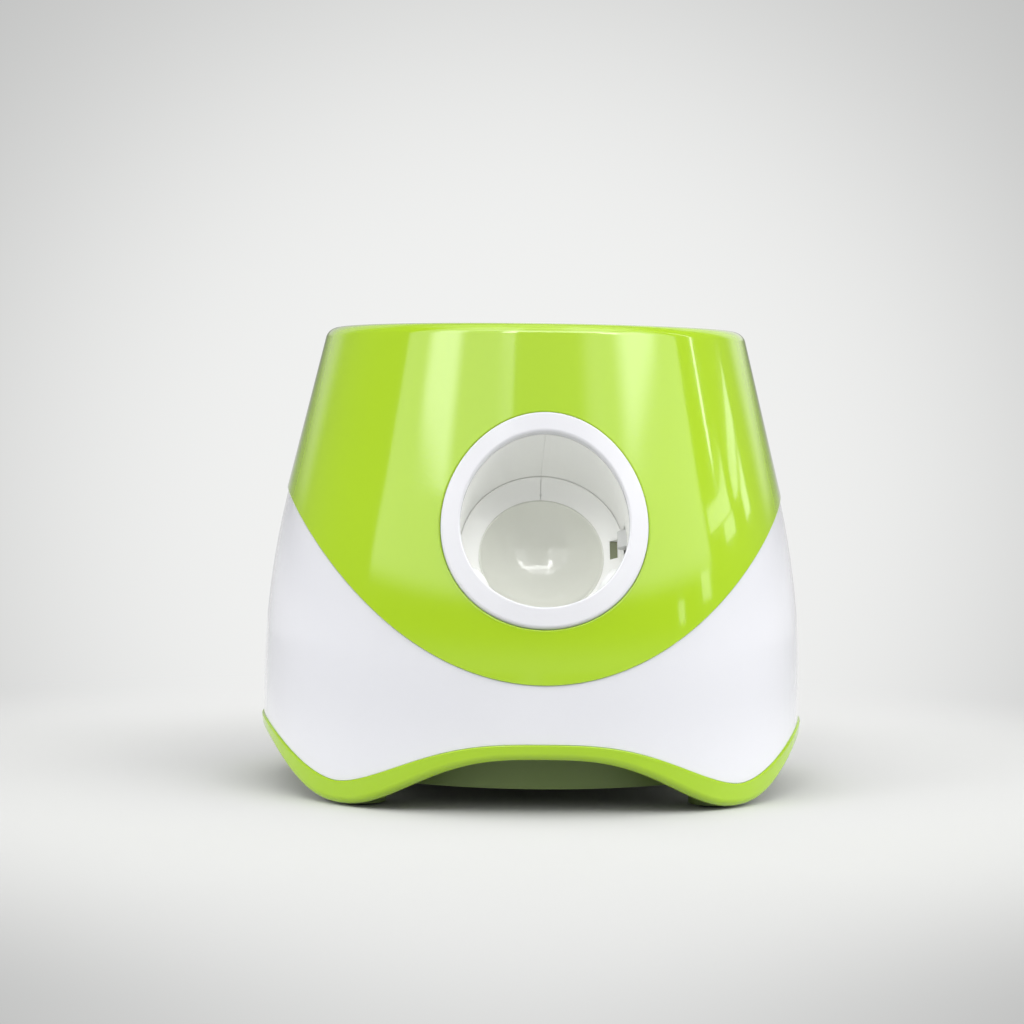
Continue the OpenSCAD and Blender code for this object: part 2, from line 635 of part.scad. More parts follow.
module board_screws() {
  color(steel) for (x = [-34, 34]) for (z = [44, 74]) translate([x, 0, z]) rotate([90, 0, 0]) {
    translate([0, 0, -88.2]) cylinder(r = 1.25, h = 5.2, $fn = 24);
    translate([0, 0, -85.19]) cylinder(r = 2.2, h = 1.4, $fn = 24);
  }
}
module tact_switches() color("#26282b") for (x = [-18, 18]) translate([x, 0, 59]) {
  translate([-3, 86.81, -3]) cube([6, 2, 6]);
}
module buzzer() color("#26282b") translate([0, 85.19, 70]) rotate([90, 0, 0]) cylinder(r = 5, h = 5.5);
module power_inlet() {
  color("#26282b") difference() {
    union() {
      translate([0, 103.3, 33]) rotate([90, 0, 0]) cylinder(r = 6.1, h = 13);
      translate([0, 97.4, 33]) rotate([90, 0, 0]) cylinder(r = 7.6, h = 2.4);
    }
    difference() {
      translate([0, 110, 33]) rotate([90, 0, 0]) cylinder(r = 2.85, h = 16);
      translate([0, 103, 33]) rotate([90, 0, 0]) cylinder(r = 1.05, h = 12, $fn = 24);
    }
  }
}

// ================= battery bay =================
cx = [-62.8, -47.8]; cz = [18.6, 33.4, 48.2];
module battery_box() {
  color("#2b2d30") difference() {
    translate([-71.8, -28.6, 10.4]) cube([33, 57.2, 48.4]);
    translate([-70.4, -27.2, 9]) cube([30.2, 54.4, 48.4]);
  }
}
module battery_cells() color("#4c7fb8") for (x = cx) for (z = cz) translate([x, 25.4, z]) rotate([90, 0, 0]) {
  cylinder(r = 7.1, h = 49.2); translate([0, 0, 49]) cylinder(r = 2.7, h = 1.6);
}
module battery_contacts() color(steel) for (x = cx) for (s = [-1, 1])
  translate([x - 5, s > 0 ? 25.6 : -26.6, 14]) cube([10, 0.8, 39]);
module battery_door() {
  color("#7fae22") union() {
    difference() {
      translate([-74, -31, 5.3]) cube([38, 62, 2.3]);
      for (i = [0:4]) translate([-72 + i * 3, -9, 5]) cube([1.4, 18, 0.9]);
    }
  }
}
module battery_leads() color("#b8322a") for (k = [0, 1])
  lead([-46 - 6 * k, 29.2, 50], [-46 - 6 * k, 52, 54], [-44 - 4 * k, 66, 52], [-30 - 4 * k, 84.2, 56 - 4 * k], 0.8);

upper_shell();
lower_shell();
base_trim();
base_tray();
tray_rim();
foot_pads();
hopper_bowl();
hopper_screws();
muzzle_ring();
barrel_left();
barrel_right();
ball_rest_left();
ball_rest_right();
front_saddle();
rear_saddle();
striker_head();
striker_sleeve();
drive_rack();
rack_screws();
launch_spring();
spring_seat();
sector_gear();
sector_wheel();
sector_shaft();
compound_gear();
compound_shaft();
gear_bushes();
gearbox_inner_plate();
gearbox_outer_plate();
gearbox_spacers();
gearbox_screws();
drive_motor();
motor_screws();
motor_shaft();
motor_pinion();
motor_leads();
sensor_lever();
sensor_pin();
sensor_spring();
sensor_board();
control_panel();
power_button();
distance_button();
button_springs();
led_lenses();
control_board();
board_screws();
tact_switches();
buzzer();
power_inlet();
battery_box();
battery_cells();
battery_contacts();
battery_door();
battery_leads();
case_screws();
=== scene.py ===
import bpy, bmesh, math
import numpy as np
from mathutils import Vector, Matrix
from mathutils.geometry import delaunay_2d_cdt


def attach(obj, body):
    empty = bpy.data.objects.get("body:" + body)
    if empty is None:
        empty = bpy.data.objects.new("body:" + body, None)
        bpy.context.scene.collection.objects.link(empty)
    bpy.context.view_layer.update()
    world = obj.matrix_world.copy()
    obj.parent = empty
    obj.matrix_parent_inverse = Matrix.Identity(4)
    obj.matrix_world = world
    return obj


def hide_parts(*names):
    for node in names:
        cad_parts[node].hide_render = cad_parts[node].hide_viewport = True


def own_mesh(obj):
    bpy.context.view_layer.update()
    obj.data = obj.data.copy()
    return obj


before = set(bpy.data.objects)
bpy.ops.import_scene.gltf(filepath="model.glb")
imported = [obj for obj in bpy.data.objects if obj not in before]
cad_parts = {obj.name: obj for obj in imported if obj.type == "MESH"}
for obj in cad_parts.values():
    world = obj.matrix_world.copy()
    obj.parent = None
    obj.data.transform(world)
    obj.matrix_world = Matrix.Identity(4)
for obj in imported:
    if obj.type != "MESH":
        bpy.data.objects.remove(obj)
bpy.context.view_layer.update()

scene = bpy.context.scene
pi = math.pi

# ---------------------------------------------------------------- dimensions (mm, as in the frame)
BELLY, LEAN, STEP, WALL = 103.9, 0.247, 0.7, 2.6
TOP, APRON, BACKB = 175.0, 47.2, 88.0
ARCH, TARCH, TFOOT, PAD = 20.8, 5.6, 7.7, 0.8
TILT = math.radians(28)
CE, SE = math.cos(TILT), math.sin(TILT)
M0 = np.array([0.0, -95.4, 104.8])
INW = np.array([0.0, CE, -SE])          # along the barrel, inwards
UPW = np.array([0.0, SE, CE])           # across the barrel, upwards
BORE, RING = 30.0, 36.9


def rs(z):
    z = np.asarray(z, float)
    d = np.minimum(115 - z, 75)
    low = BELLY - LEAN * 37.5 + LEAN * d - LEAN * d * d / 150
    return np.where(z > 115, BELLY - LEAN * 37.5 - LEAN * (z - 115), low)


def drs(z):
    z = np.asarray(z, float)
    return np.where(z > 115, -LEAN, np.where(z < 40, 0.0, -LEAN * (1 - (115 - z) / 75)))


def wall(th, z, g):
    """Point and outward normal of the housing wall pushed out by g; th = 0 is the front."""
    th, z = np.broadcast_arrays(np.asarray(th, float), np.asarray(z, float))
    r = rs(z) + g
    p = np.stack([r * np.sin(th), -r * np.cos(th), z], -1)
    n = np.stack([np.sin(th), -np.cos(th), -drs(z)], -1)
    return p, n / np.linalg.norm(n, axis=-1, keepdims=True)


def bf(x):
    return APRON + 0.0062 * x * x + 1.16e-7 * x ** 4


def bb(x):
    return BACKB + (bf(95.6) - BACKB) * (x / 95.6) ** 2


def border(th, g):
    z = np.full(np.shape(th), 85.0)
    for _ in range(60):
        x = (rs(z) + g) * np.sin(th)
        z = 0.5 * z + 0.5 * np.where(np.cos(th) > 0, bf(x), bb(x))
    return z


def ss(t):
    t = np.clip(t, 0, 1)
    return t * t * (3 - 2 * t)


def arch_lo1(x):
    return PAD + (ARCH - PAD) * (1 - ss((np.abs(x) / 71.5) ** 1.55))


def arch_hi1(x):
    return PAD + TFOOT + (ARCH + TARCH - PAD - TFOOT) * (1 - ss((np.abs(x) / 77.0) ** 1.55))


def arch(fn, th):
    R = 103.9
    th = np.asarray(th, float)
    k, tot, ws = 0.35, 0.0, 0.0
    # a few degrees of smoothing round off the lobes over the feet
    for d in range(-4, 5):
        w_ = 5 - abs(d)
        a, b = fn(R * np.sin(th + math.radians(d * 1.2))), fn(R * np.cos(th + math.radians(d * 1.2)))
        tot = tot + w_ * (np.logaddexp(a / k, b / k) * k - k * math.log(2) * np.exp(-np.abs(a - b) / k))
        ws += w_
    return tot / ws


# ---------------------------------------------------------------- mesh building
class Build:
    def __init__(self):
        self.v, self.n, self.f, self.count = [], [], [], 0

    def add(self, P, N=None):
        P = np.asarray(P, float).reshape(-1, 3)
        N = np.zeros_like(P) if N is None else np.asarray(N, float).reshape(-1, 3)
        i = np.arange(self.count, self.count + len(P))
        self.v.append(P); self.n.append(N); self.count += len(P)
        return i

    def strip(self, a, b, closed=True):
        m = len(a)
        for i in range(m if closed else m - 1):
            j = (i + 1) % m
            q = [int(a[i]), int(a[j]), int(b[j]), int(b[i])]
            q = [k for n, k in enumerate(q) if k != q[n - 1]]
            if len(q) > 2:
                self.f.append(q)

    def fan(self, a, c):
        m = len(a)
        for i in range(m):
            self.f.append([int(a[i]), int(a[(i + 1) % m]), int(c)])

    def rows(self, rows, closed=True, loop=False):
        for a, b in zip(rows, rows[1:] + (rows[:1] if loop else [])):
            self.strip(a, b, closed)

    def make(self, name, body, mat, smooth_deg=35, subsurf=0, replaces=(), solid=True):
        V = np.concatenate(self.v) * 0.001
        N = np.concatenate(self.n)
        me = bpy.data.meshes.new(name)
        me.from_pydata(V.tolist(), [], self.f)
        me.update()
        bm = bmesh.new(); bm.from_mesh(me)
        bmesh.ops.recalc_face_normals(bm, faces=bm.faces)
        loose = [v for v in bm.verts if not v.link_faces]
        keep = np.ones(len(V), bool)
        for v in loose:
            keep[v.index] = False
        bmesh.ops.delete(bm, geom=loose, context='VERTS')
        bm.to_mesh(me)
        open_edges = sum(1 for e_ in bm.edges if not e_.is_manifold)
        bm.free()
        if open_edges and solid:
            print('open edges', name, open_edges)
        for p in me.polygons:
            p.use_smooth = True
        me.set_sharp_from_angle(angle=math.radians(smooth_deg))
        N = N[keep]
        if np.any(N):
            # the analytic normals are set as custom split normals
            nn = [Vector(x) for x in N]
            me.normals_split_custom_set_from_vertices(nn)
        ob = bpy.data.objects.new(name, me)
        scene.collection.objects.link(ob)
        me.materials.append(mat)
        if subsurf:
            m = ob.modifiers.new('sub', 'SUBSURF'); m.levels = m.render_levels = subsurf
        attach(ob, body)
        if replaces:
            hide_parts(*replaces)
        return ob


def roll(B, P, N, I, r, steps=5, rev=False):
    """Rows of a rounded edge: from inset r on the surface to depth r under the edge. P is the edge line."""
    out = []
    for k in range(steps + 1):
        a = 0.5 * pi * k / steps
        s, c = math.sin(a), math.cos(a)
        out.append(B.add(P + I * (r - r * s) - N * (r - r * c), N * c - I * s))
    return out


def triangulate(outer, holes, inner_pts):
    """Constrained triangulation of a flat domain. outer and holes are closed loops of 2-D points."""
    pts, edges, loops = [], [], []
    for loop in [outer] + holes:
        i0 = len(pts)
        pts += [tuple(p) for p in loop]
        m = len(loop)
        edges += [(i0 + k, i0 + (k + 1) % m) for k in range(m)]
        loops.append(np.arange(i0, i0 + m))
    pts += [tuple(p) for p in inner_pts]
    vo, _, fo, ov, _, _ = delaunay_2d_cdt([Vector(p) for p in pts], edges, [], 0, 1e-7)
    back = {}
    for k, src in enumerate(ov):
        for s_ in src:
            back[s_] = k
    X = np.array([[p.x, p.y] for p in vo])

    def inside(poly, Q):
        poly = np.asarray(poly); x, y = Q[:, 0], Q[:, 1]
        c = np.zeros(len(Q), bool)
        x0, y0 = poly[:, 0], poly[:, 1]
        x1, y1 = np.roll(x0, -1), np.roll(y0, -1)
        for a, b, p, q in zip(x0, y0, x1, y1):
            if b == q:
                continue
            hit = ((b > y) != (q > y)) & (x < (p - a) * (y - b) / (q - b) + a)
            c ^= hit
        return c
    F = np.array([list(f) for f in fo if len(f) == 3])
    C = X[F].mean(1)
    ok = inside(outer, C)
    for h in holes:
        ok &= ~inside(h, C)
    return X, F[ok], [np.array([back[i] for i in l]) for l in loops]


def grid_points(s0, s1, z0, z1, step):
    out = []
    k = 0
    z = z0
    while z < z1:
        s = s0 + (step / 2 if k % 2 else 0)
        while s < s1:
            out.append((s, z)); s += step
        z += step * 0.866; k += 1
    return np.array(out)


# ---------------------------------------------------------------- materials
def new_mat(name):
    m = bpy.data.materials.new(name)
    m.use_nodes = True
    nt = m.node_tree
    for n in list(nt.nodes):
        nt.nodes.remove(n)
    out = nt.nodes.new('ShaderNodeOutputMaterial')
    bs = nt.nodes.new('ShaderNodeBsdfPrincipled')
    nt.links.new(bs.outputs[0], out.inputs[0])
    return m, nt, bs


def node(nt, kind, **kw):
    n = nt.nodes.new(kind)
    for k, v in kw.items():
        if k.startswith('i_'):
            n.inputs[k[2:].replace('_', ' ')].default_value = v
        else:
            setattr(n, k, v)
    return n


def plastic(name, col, col2, rough, rough_var=0.04, grain=900.0, grain_h=0.00002, wave=26.0, wave_h=0.0, coat=0.0, coat_r=0.05,
            spec=0.5, sss=0.0, speck=0.0, metallic=0.0):
    """Moulded plastic: slow colour drift, fine surface texture, slight waviness in the gloss."""
    m, nt, bs = new_mat(name)
    L = nt.links.new
    tc = node(nt, 'ShaderNodeTexCoord')
    n1 = node(nt, 'ShaderNodeTexNoise', i_Scale=14.0, i_Detail=3.0, i_Roughness=0.5)
    L(tc.outputs['Object'], n1.inputs['Vector'])
    ramp = node(nt, 'ShaderNodeMapRange')
    ramp.inputs['From Min'].default_value = 0.3; ramp.inputs['From Max'].default_value = 0.7
    L(n1.outputs['Fac'], ramp.inputs['Value'])
    mix = node(nt, 'ShaderNodeMix', data_type='RGBA')
    mix.inputs[6].default_value = (*col, 1); mix.inputs[7].default_value = (*col2, 1)
    L(ramp.outputs[0], mix.inputs[0])
    L(mix.outputs[2], bs.inputs['Base Color'])
    # gloss: a little uneven
    n2 = node(nt, 'ShaderNodeTexNoise', i_Scale=55.0, i_Detail=4.0, i_Roughness=0.6)
    L(tc.outputs['Object'], n2.inputs['Vector'])
    rr = node(nt, 'ShaderNodeMapRange')
    rr.inputs['From Min'].default_value = 0.25; rr.inputs['From Max'].default_value = 0.75
    rr.inputs['To Min'].default_value = max(0.02, rough - rough_var); rr.inputs['To Max'].default_value = rough + rough_var
    L(n2.outputs['Fac'], rr.inputs['Value'])
    L(rr.outputs[0], bs.inputs['Roughness'])
    # fine grain and waviness
    n3 = node(nt, 'ShaderNodeTexNoise', i_Scale=grain, i_Detail=2.0, i_Roughness=0.5)
    L(tc.outputs['Object'], n3.inputs['Vector'])
    b1 = node(nt, 'ShaderNodeBump', i_Strength=1.0)
    b1.inputs['Distance'].default_value = grain_h
    L(n3.outputs['Fac'], b1.inputs['Height'])
    last = b1
    if wave_h:
        n4 = node(nt, 'ShaderNodeTexNoise', i_Scale=wave, i_Detail=1.0, i_Roughness=0.4)
        L(tc.outputs['Object'], n4.inputs['Vector'])
        b2 = node(nt, 'ShaderNodeBump', i_Strength=1.0)
        b2.inputs['Distance'].default_value = wave_h
        L(n4.outputs['Fac'], b2.inputs['Height'])
        L(b1.outputs[0], b2.inputs['Normal'])
        last = b2
    L(last.outputs[0], bs.inputs['Normal'])
    bs.inputs['Specular IOR Level'].default_value = spec
    bs.inputs['Metallic'].default_value = metallic
    bs.inputs['Coat Weight'].default_value = coat
    bs.inputs['Coat Roughness'].default_value = coat_r
    if sss:
        bs.inputs['Subsurface Weight'].default_value = sss
        bs.inputs['Subsurface Scale'].default_value = 0.004
        bs.inputs['Subsurface Radius'].default_value = (1.0, 0.9, 0.8)
    return m


def metal(name, col, rough, stretch=(1, 1, 40), scale=60.0, var=0.12):
    """Metal with drawn or ground lines along one direction and a little tarnish."""
    m, nt, bs = new_mat(name)
    L = nt.links.new
    tc = node(nt, 'ShaderNodeTexCoord')
    mp = node(nt, 'ShaderNodeMapping')
    mp.inputs['Scale'].default_value = stretch
    L(tc.outputs['Object'], mp.inputs['Vector'])
    n1 = node(nt, 'ShaderNodeTexNoise', i_Scale=scale, i_Detail=4.0, i_Roughness=0.6)
    L(mp.outputs[0], n1.inputs['Vector'])
    rr = node(nt, 'ShaderNodeMapRange')
    rr.inputs['To Min'].default_value = max(0.05, rough - var); rr.inputs['To Max'].default_value = rough + var
    L(n1.outputs['Fac'], rr.inputs['Value']); L(rr.outputs[0], bs.inputs['Roughness'])
    n2 = node(nt, 'ShaderNodeTexNoise', i_Scale=20.0, i_Detail=3.0)
    L(tc.outputs['Object'], n2.inputs['Vector'])
    mix = node(nt, 'ShaderNodeMix', data_type='RGBA')
    mix.inputs[6].default_value = (*col, 1); mix.inputs[7].default_value = (*[c * 0.82 for c in col], 1)
    L(n2.outputs['Fac'], mix.inputs[0]); L(mix.outputs[2], bs.inputs['Base Color'])
    b = node(nt, 'ShaderNodeBump', i_Strength=0.4)
    b.inputs['Distance'].default_value = 0.00003
    L(n1.outputs['Fac'], b.inputs['Height']); L(b.outputs[0], bs.inputs['Normal'])
    bs.inputs['Metallic'].default_value = 1.0
    return m


GREEN = plastic('green_gloss', (0.342, 0.535, 0.007), (0.334, 0.527, 0.006), 0.10, 0.02, wave_h=0.00004, coat=1.0, coat_r=0.03)
GREEN_TRIM = plastic('green_trim', (0.305, 0.490, 0.003), (0.290, 0.470, 0.003), 0.18, 0.03, wave_h=0.00004, coat=0.5, coat_r=0.08)
GREEN_IN = plastic('green_inner', (0.20, 0.33, 0.02), (0.17, 0.29, 0.02), 0.42, 0.06, grain_h=0.00005)
WHITE = plastic('white_gloss', (0.635, 0.638, 0.672), (0.622, 0.626, 0.660), 0.12, 0.02, wave_h=0.00004, coat=0.6, coat_r=0.03)
RINGM = plastic('ring_white', (0.650, 0.652, 0.680), (0.640, 0.643, 0.670), 0.22, 0.03, coat=0.15, coat_r=0.1)
BOWL = plastic('bowl_white', (0.640, 0.642, 0.670), (0.625, 0.628, 0.655), 0.24, 0.04, coat=0.1, coat_r=0.1)
BARREL = plastic('barrel_plastic', (0.860, 0.866, 0.842), (0.840, 0.846, 0.822), 0.34, 0.05, grain_h=0.00003)
NUB = plastic('rest_plastic', (0.780, 0.790, 0.780), (0.750, 0.760, 0.750), 0.36, 0.05)
DISH = plastic('striker_plastic', (0.690, 0.702, 0.640), (0.675, 0.687, 0.625), 0.12, 0.03, coat=0.8, coat_r=0.04)
# dark greenish colour for the rim window's floor: painted shade for the dim slot behind it
SLOT_SHADE = plastic('window_floor_painted_shade', (0.20, 0.22, 0.13), (0.18, 0.20, 0.11), 0.45, 0.05)
LEVER = plastic('lever_plastic', (0.60, 0.61, 0.60), (0.56, 0.57, 0.56), 0.35, 0.05)
GEARP = plastic('gear_plastic', (0.70, 0.67, 0.56), (0.66, 0.63, 0.52), 0.38, 0.06, grain_h=0.00004, sss=0.05)
FRAMEP = plastic('frame_plastic', (0.60, 0.60, 0.58), (0.56, 0.56, 0.54), 0.45, 0.06, grain_h=0.00005)
BLACK = plastic('black_plastic', (0.022, 0.022, 0.025), (0.030, 0.030, 0.033), 0.42, 0.08, grain_h=0.00006)
PANEL = plastic('panel_plastic', (0.050, 0.053, 0.058), (0.060, 0.063, 0.068), 0.50, 0.06, grain=1400.0, grain_h=0.00008)
REDB = plastic('red_button', (0.62, 0.055, 0.030), (0.56, 0.048, 0.028), 0.36, 0.06, grain=1200.0, grain_h=0.00005)
WHITEB = plastic('white_button', (0.72, 0.73, 0.75), (0.69, 0.70, 0.72), 0.36, 0.06, grain=1200.0, grain_h=0.00005)
CELL = plastic('cell_wrap', (0.06, 0.20, 0.42), (0.05, 0.17, 0.37), 0.22, 0.05)
TRAY = plastic('tray_plastic', (0.120, 0.172, 0.040), (0.105, 0.155, 0.034), 0.46, 0.06, grain_h=0.00006)
RUBBER = plastic('foot_rubber', (0.030, 0.030, 0.033), (0.045, 0.045, 0.048), 0.72, 0.10, grain=700.0, grain_h=0.0001)
LEAD_R = plastic('lead_red', (0.45, 0.03, 0.025), (0.40, 0.025, 0.022), 0.40, 0.06)
LENS = plastic('light_lens', (0.78, 0.82, 0.66), (0.74, 0.78, 0.62), 0.18, 0.04, sss=0.2)
STEEL = metal('steel', (0.60, 0.61, 0.63), 0.32)
MOTOR = metal('motor_can', (0.50, 0.51, 0.53), 0.36, stretch=(40, 1, 1), scale=20.0)
BRASS = metal('brass', (0.70, 0.50, 0.20), 0.30)


def board_mat():
    m, nt, bs = new_mat('circuit_board')
    L = nt.links.new
    tc = node(nt, 'ShaderNodeTexCoord')
    br = node(nt, 'ShaderNodeTexVoronoi', i_Scale=240.0)
    L(tc.outputs['Object'], br.inputs['Vector'])
    rmp = node(nt, 'ShaderNodeMapRange')
    rmp.inputs['From Min'].default_value = 0.0; rmp.inputs['From Max'].default_value = 0.35
    L(br.outputs['Distance'], rmp.inputs['Value'])
    mix = node(nt, 'ShaderNodeMix', data_type='RGBA')
    mix.inputs[6].default_value = (0.09, 0.25, 0.10, 1); mix.inputs[7].default_value = (0.02, 0.13, 0.05, 1)
    L(rmp.outputs[0], mix.inputs[0]); L(mix.outputs[2], bs.inputs['Base Color'])
    n = node(nt, 'ShaderNodeTexNoise', i_Scale=120.0)
    L(tc.outputs['Object'], n.inputs['Vector'])
    b = node(nt, 'ShaderNodeBump', i_Strength=0.5); b.inputs['Distance'].default_value = 0.0001
    L(n.outputs['Fac'], b.inputs['Height']); L(b.outputs[0], bs.inputs['Normal'])
    bs.inputs['Roughness'].default_value = 0.38
    return m


BOARD = board_mat()

# every carried-over node gets its finish
for nd, mt in {
    'base_tray': TRAY, 'tray_rim': TRAY, 'battery_door': TRAY, 'front_saddle': FRAMEP, 'rear_saddle': FRAMEP, 'barrel_left': BARREL,
    'barrel_right': BARREL, 'ball_rest_left': NUB, 'ball_rest_right': NUB, 'striker_head': DISH, 'striker_sleeve': DISH,
    'drive_rack': GEARP, 'sector_gear': GEARP, 'sector_wheel': GEARP, 'compound_gear': GEARP, 'rack_screws': STEEL,
    'launch_spring': STEEL, 'spring_seat': FRAMEP, 'sector_shaft': STEEL, 'compound_shaft': STEEL, 'gear_bushes': BRASS,
    'gearbox_inner_plate': FRAMEP, 'gearbox_outer_plate': FRAMEP, 'gearbox_spacers': STEEL, 'gearbox_screws': STEEL,
    'drive_motor': MOTOR, 'motor_screws': STEEL, 'motor_shaft': STEEL, 'motor_pinion': BRASS, 'motor_leads': LEAD_R,
    'sensor_lever': LEVER, 'sensor_pin': STEEL, 'sensor_spring': STEEL, 'sensor_board': BOARD, 'control_panel': PANEL,
    'power_button': REDB, 'distance_button': WHITEB, 'button_springs': STEEL, 'led_lenses': LENS, 'control_board': BOARD,
    'board_screws': STEEL, 'tact_switches': BLACK, 'buzzer': BLACK, 'power_inlet': BLACK, 'battery_box': BLACK,
    'battery_cells': CELL, 'battery_contacts': STEEL, 'battery_leads': LEAD_R, 'foot_pads': RUBBER, 'case_screws': STEEL,
    'hopper_screws': STEEL, 'hopper_bowl': BOWL, 'upper_shell': GREEN, 'lower_shell': WHITE, 'base_trim': GREEN_TRIM, 'muzzle_ring': RINGM,
}.items():
    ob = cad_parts[nd]
    ob.data.materials.clear()
    ob.data.materials.append(mt)


# ---------------------------------------------------------------- green upper shell
def ray_on_wall(rho, phi, h):
    """Depth along the barrel at which the line at (rho, phi) off its axis meets the wall pushed out by h."""
    off = M0 + np.multiply.outer(rho * np.cos(phi), [1.0, 0, 0]) + np.multiply.outer(rho * np.sin(phi), UPW)
    lo_, hi_ = np.full(np.shape(phi), -60.0), np.full(np.shape(phi), 45.0)
    for _ in range(60):
        mid = (lo_ + hi_) / 2
        p = off + mid[..., None] * INW
        out = np.hypot(p[..., 0], p[..., 1]) > rs(p[..., 2]) + h
        lo_, hi_ = np.where(out, mid, lo_), np.where(out, hi_, mid)
    return off + mid[..., None] * INW


def unit(v):
    return v / np.linalg.norm(v, axis=-1, keepdims=True)


def edge_frame(P, N, up_hint):
    """Tangent and in-surface inward direction of a closed edge line P with surface normals N."""
    T = unit(np.roll(P, -1, 0) - np.roll(P, 1, 0))
    I = unit(np.cross(N, T))
    sgn = np.sign((I * up_hint).sum(-1))
    return T, I * sgn[:, None]


def upper_shell():
    B = Build(); g = 0.5; t = 2.6; NT = 360; r = 0.55; zt = 157.0; R0 = 97.0
    th = -pi + 2 * pi * np.arange(NT) / NT
    zb = border(th, g)
    P, N = wall(th, zb, g)
    T, I = edge_frame(P, N, np.array([0, 0, 1.0]))
    Q = P + I * r
    thq = np.unwrap(np.arctan2(Q[:, 0], -Q[:, 1]), period=2 * pi)
    thq = np.where(thq - th > pi, thq - 2 * pi, np.where(thq - th < -pi, thq + 2 * pi, thq))
    bottom = np.stack([thq * R0, Q[:, 2]], -1)
    # muzzle opening
    NH = 150
    ph = 2 * pi * np.arange(NH) / NH
    rh = RING + 0.33; rr_ = 0.6
    H0 = ray_on_wall(rh, ph, g); H1 = ray_on_wall(rh + rr_, ph, g)
    hole = np.stack([np.arctan2(H1[:, 0], -H1[:, 1]) * R0, H1[:, 2]], -1)
    # the domain is cut open at the back, at th = -pi and +pi
    zcol = np.linspace(bottom[0, 1], zt, 20)[1:-1]
    outer = [tuple(p) for p in bottom] + [(bottom[0, 0] + 2 * pi * R0, bottom[0, 1])]
    outer += [(bottom[0, 0] + 2 * pi * R0, z) for z in zcol]
    topr = [((th[k] if k < NT else pi) * R0, zt) for k in range(NT, -1, -1)]
    outer += topr
    outer += [(bottom[0, 0], z) for z in zcol[::-1]]
    G = grid_points(-pi * R0 + 2.5, pi * R0 - 2.0, 44, zt - 2.2, 4.0)
    gz = border(G[:, 0] / R0, g)
    pg, _ = wall(G[:, 0] / R0, G[:, 1], g)
    v = pg - M0; al = v @ INW
    off = np.linalg.norm(v - al[:, None] * INW, axis=1)
    keep = (G[:, 1] > gz + r + 2.4) & ~((off < rh + rr_ + 2.2) & (np.cos(G[:, 0] / R0) > 0))
    X, F, loops = triangulate(outer, [[tuple(p) for p in hole]], G[keep])
    PO, NO = wall(X[:, 0] / R0, X[:, 1], g)
    # weld the cut
    m = len(bottom)
    oi = loops[0]
    remap = np.arange(len(X))
    right = oi[NT:NT + 1 + len(zcol) + 1]                  # bottom right, column, top right
    left = np.concatenate([[oi[0]], oi[NT + 1 + len(zcol) + NT + 1:][::-1], [oi[NT + 1 + len(zcol) + NT]]])
    for a, b in zip(right, left):
        remap[a] = b
    F = remap[F]
    io = B.add(PO, NO)
    ii = B.add(PO - NO * t, -NO)
    B.f += [list(map(int, io[f])) for f in F] + [list(map(int, ii[f[::-1]])) for f in F]
    ib = remap[oi[:NT]]
    ih = remap[loops[1]]
    it = remap[oi[NT + 1 + len(zcol):NT + 1 + len(zcol) + NT + 1][::-1][:NT]]
    # rounded lower border
    rows = roll(B, P, N, I, r)
    B.v[-6][:] = 0  # the first row of the roll is the triangulated edge itself
    rows[0] = io[ib]
    e1 = B.add(P - N * (t - 0.3), -I)
    e2 = B.add(P - N * t + I * 0.3, -N - I)
    B.rows(rows + [e1, e2, ii[ib]])
    # rounded edge of the opening
    NH_, IH = None, None
    _, n0 = wall(np.arctan2(H0[:, 0], -H0[:, 1]), H0[:, 2], g)
    IHd = unit(H1 - H0)
    rows = [io[ih]]
    for k in range(1, 6):
        a = 0.5 * pi * k / 5
        rows.append(B.add(H0 + IHd * (rr_ - rr_ * math.sin(a)) - n0 * (rr_ - rr_ * math.cos(a)), n0 * math.cos(a) - IHd * math.sin(a)))
    rows.append(B.add(H0 - n0 * t, -IHd))
    rows.append(ii[ih])
    B.rows(rows)
    # rim
    a0 = math.atan(LEAN); rc = 5.0; zc = TOP - rc
    zt2 = zc + rc * math.sin(a0)
    cr = float(rs(zt2)) + g - rc * math.cos(a0)
    prof = [(float(rs(z)) + g, z, math.cos(a0), math.sin(a0)) for z in (160.0, 163.5, 167.0)]
    for k in range(13):
        a = a0 + (pi / 2 - a0) * k / 12
        prof.append((cr + rc * math.cos(a), zc + rc * math.sin(a), math.cos(a), math.sin(a)))
    prof += [(cr - 0.4, TOP, 0, 1), (75.5, TOP, 0, 1)]
    for k in range(7):
        a = pi / 2 + pi / 2 * k / 6
        prof.append((75.2 + 1.0 * math.cos(a), TOP - 1.0 + 1.0 * math.sin(a), math.cos(a), math.sin(a)))
    prof += [(74.2, TOP - 2.3, -1, 0), (74.5, TOP - 2.6, -0.7, -0.7), (cr - 0.7, TOP - 2.6, 0, -1), (cr + 1.4, TOP - 4.2, -0.7, -0.7)]
    rows = [io[it]]
    for (q, z, nr, nz) in prof:
        ptn = np.stack([q * np.sin(th), -q * np.cos(th), np.full(NT, z)], -1)
        nn = np.stack([nr * np.sin(th), -nr * np.cos(th), np.full(NT, nz)], -1)
        rows.append(B.add(ptn, nn))
    rows.append(ii[it])
    B.rows(rows)
    return B.make('shell_upper', 'housing', GREEN, replaces=('upper_shell',))


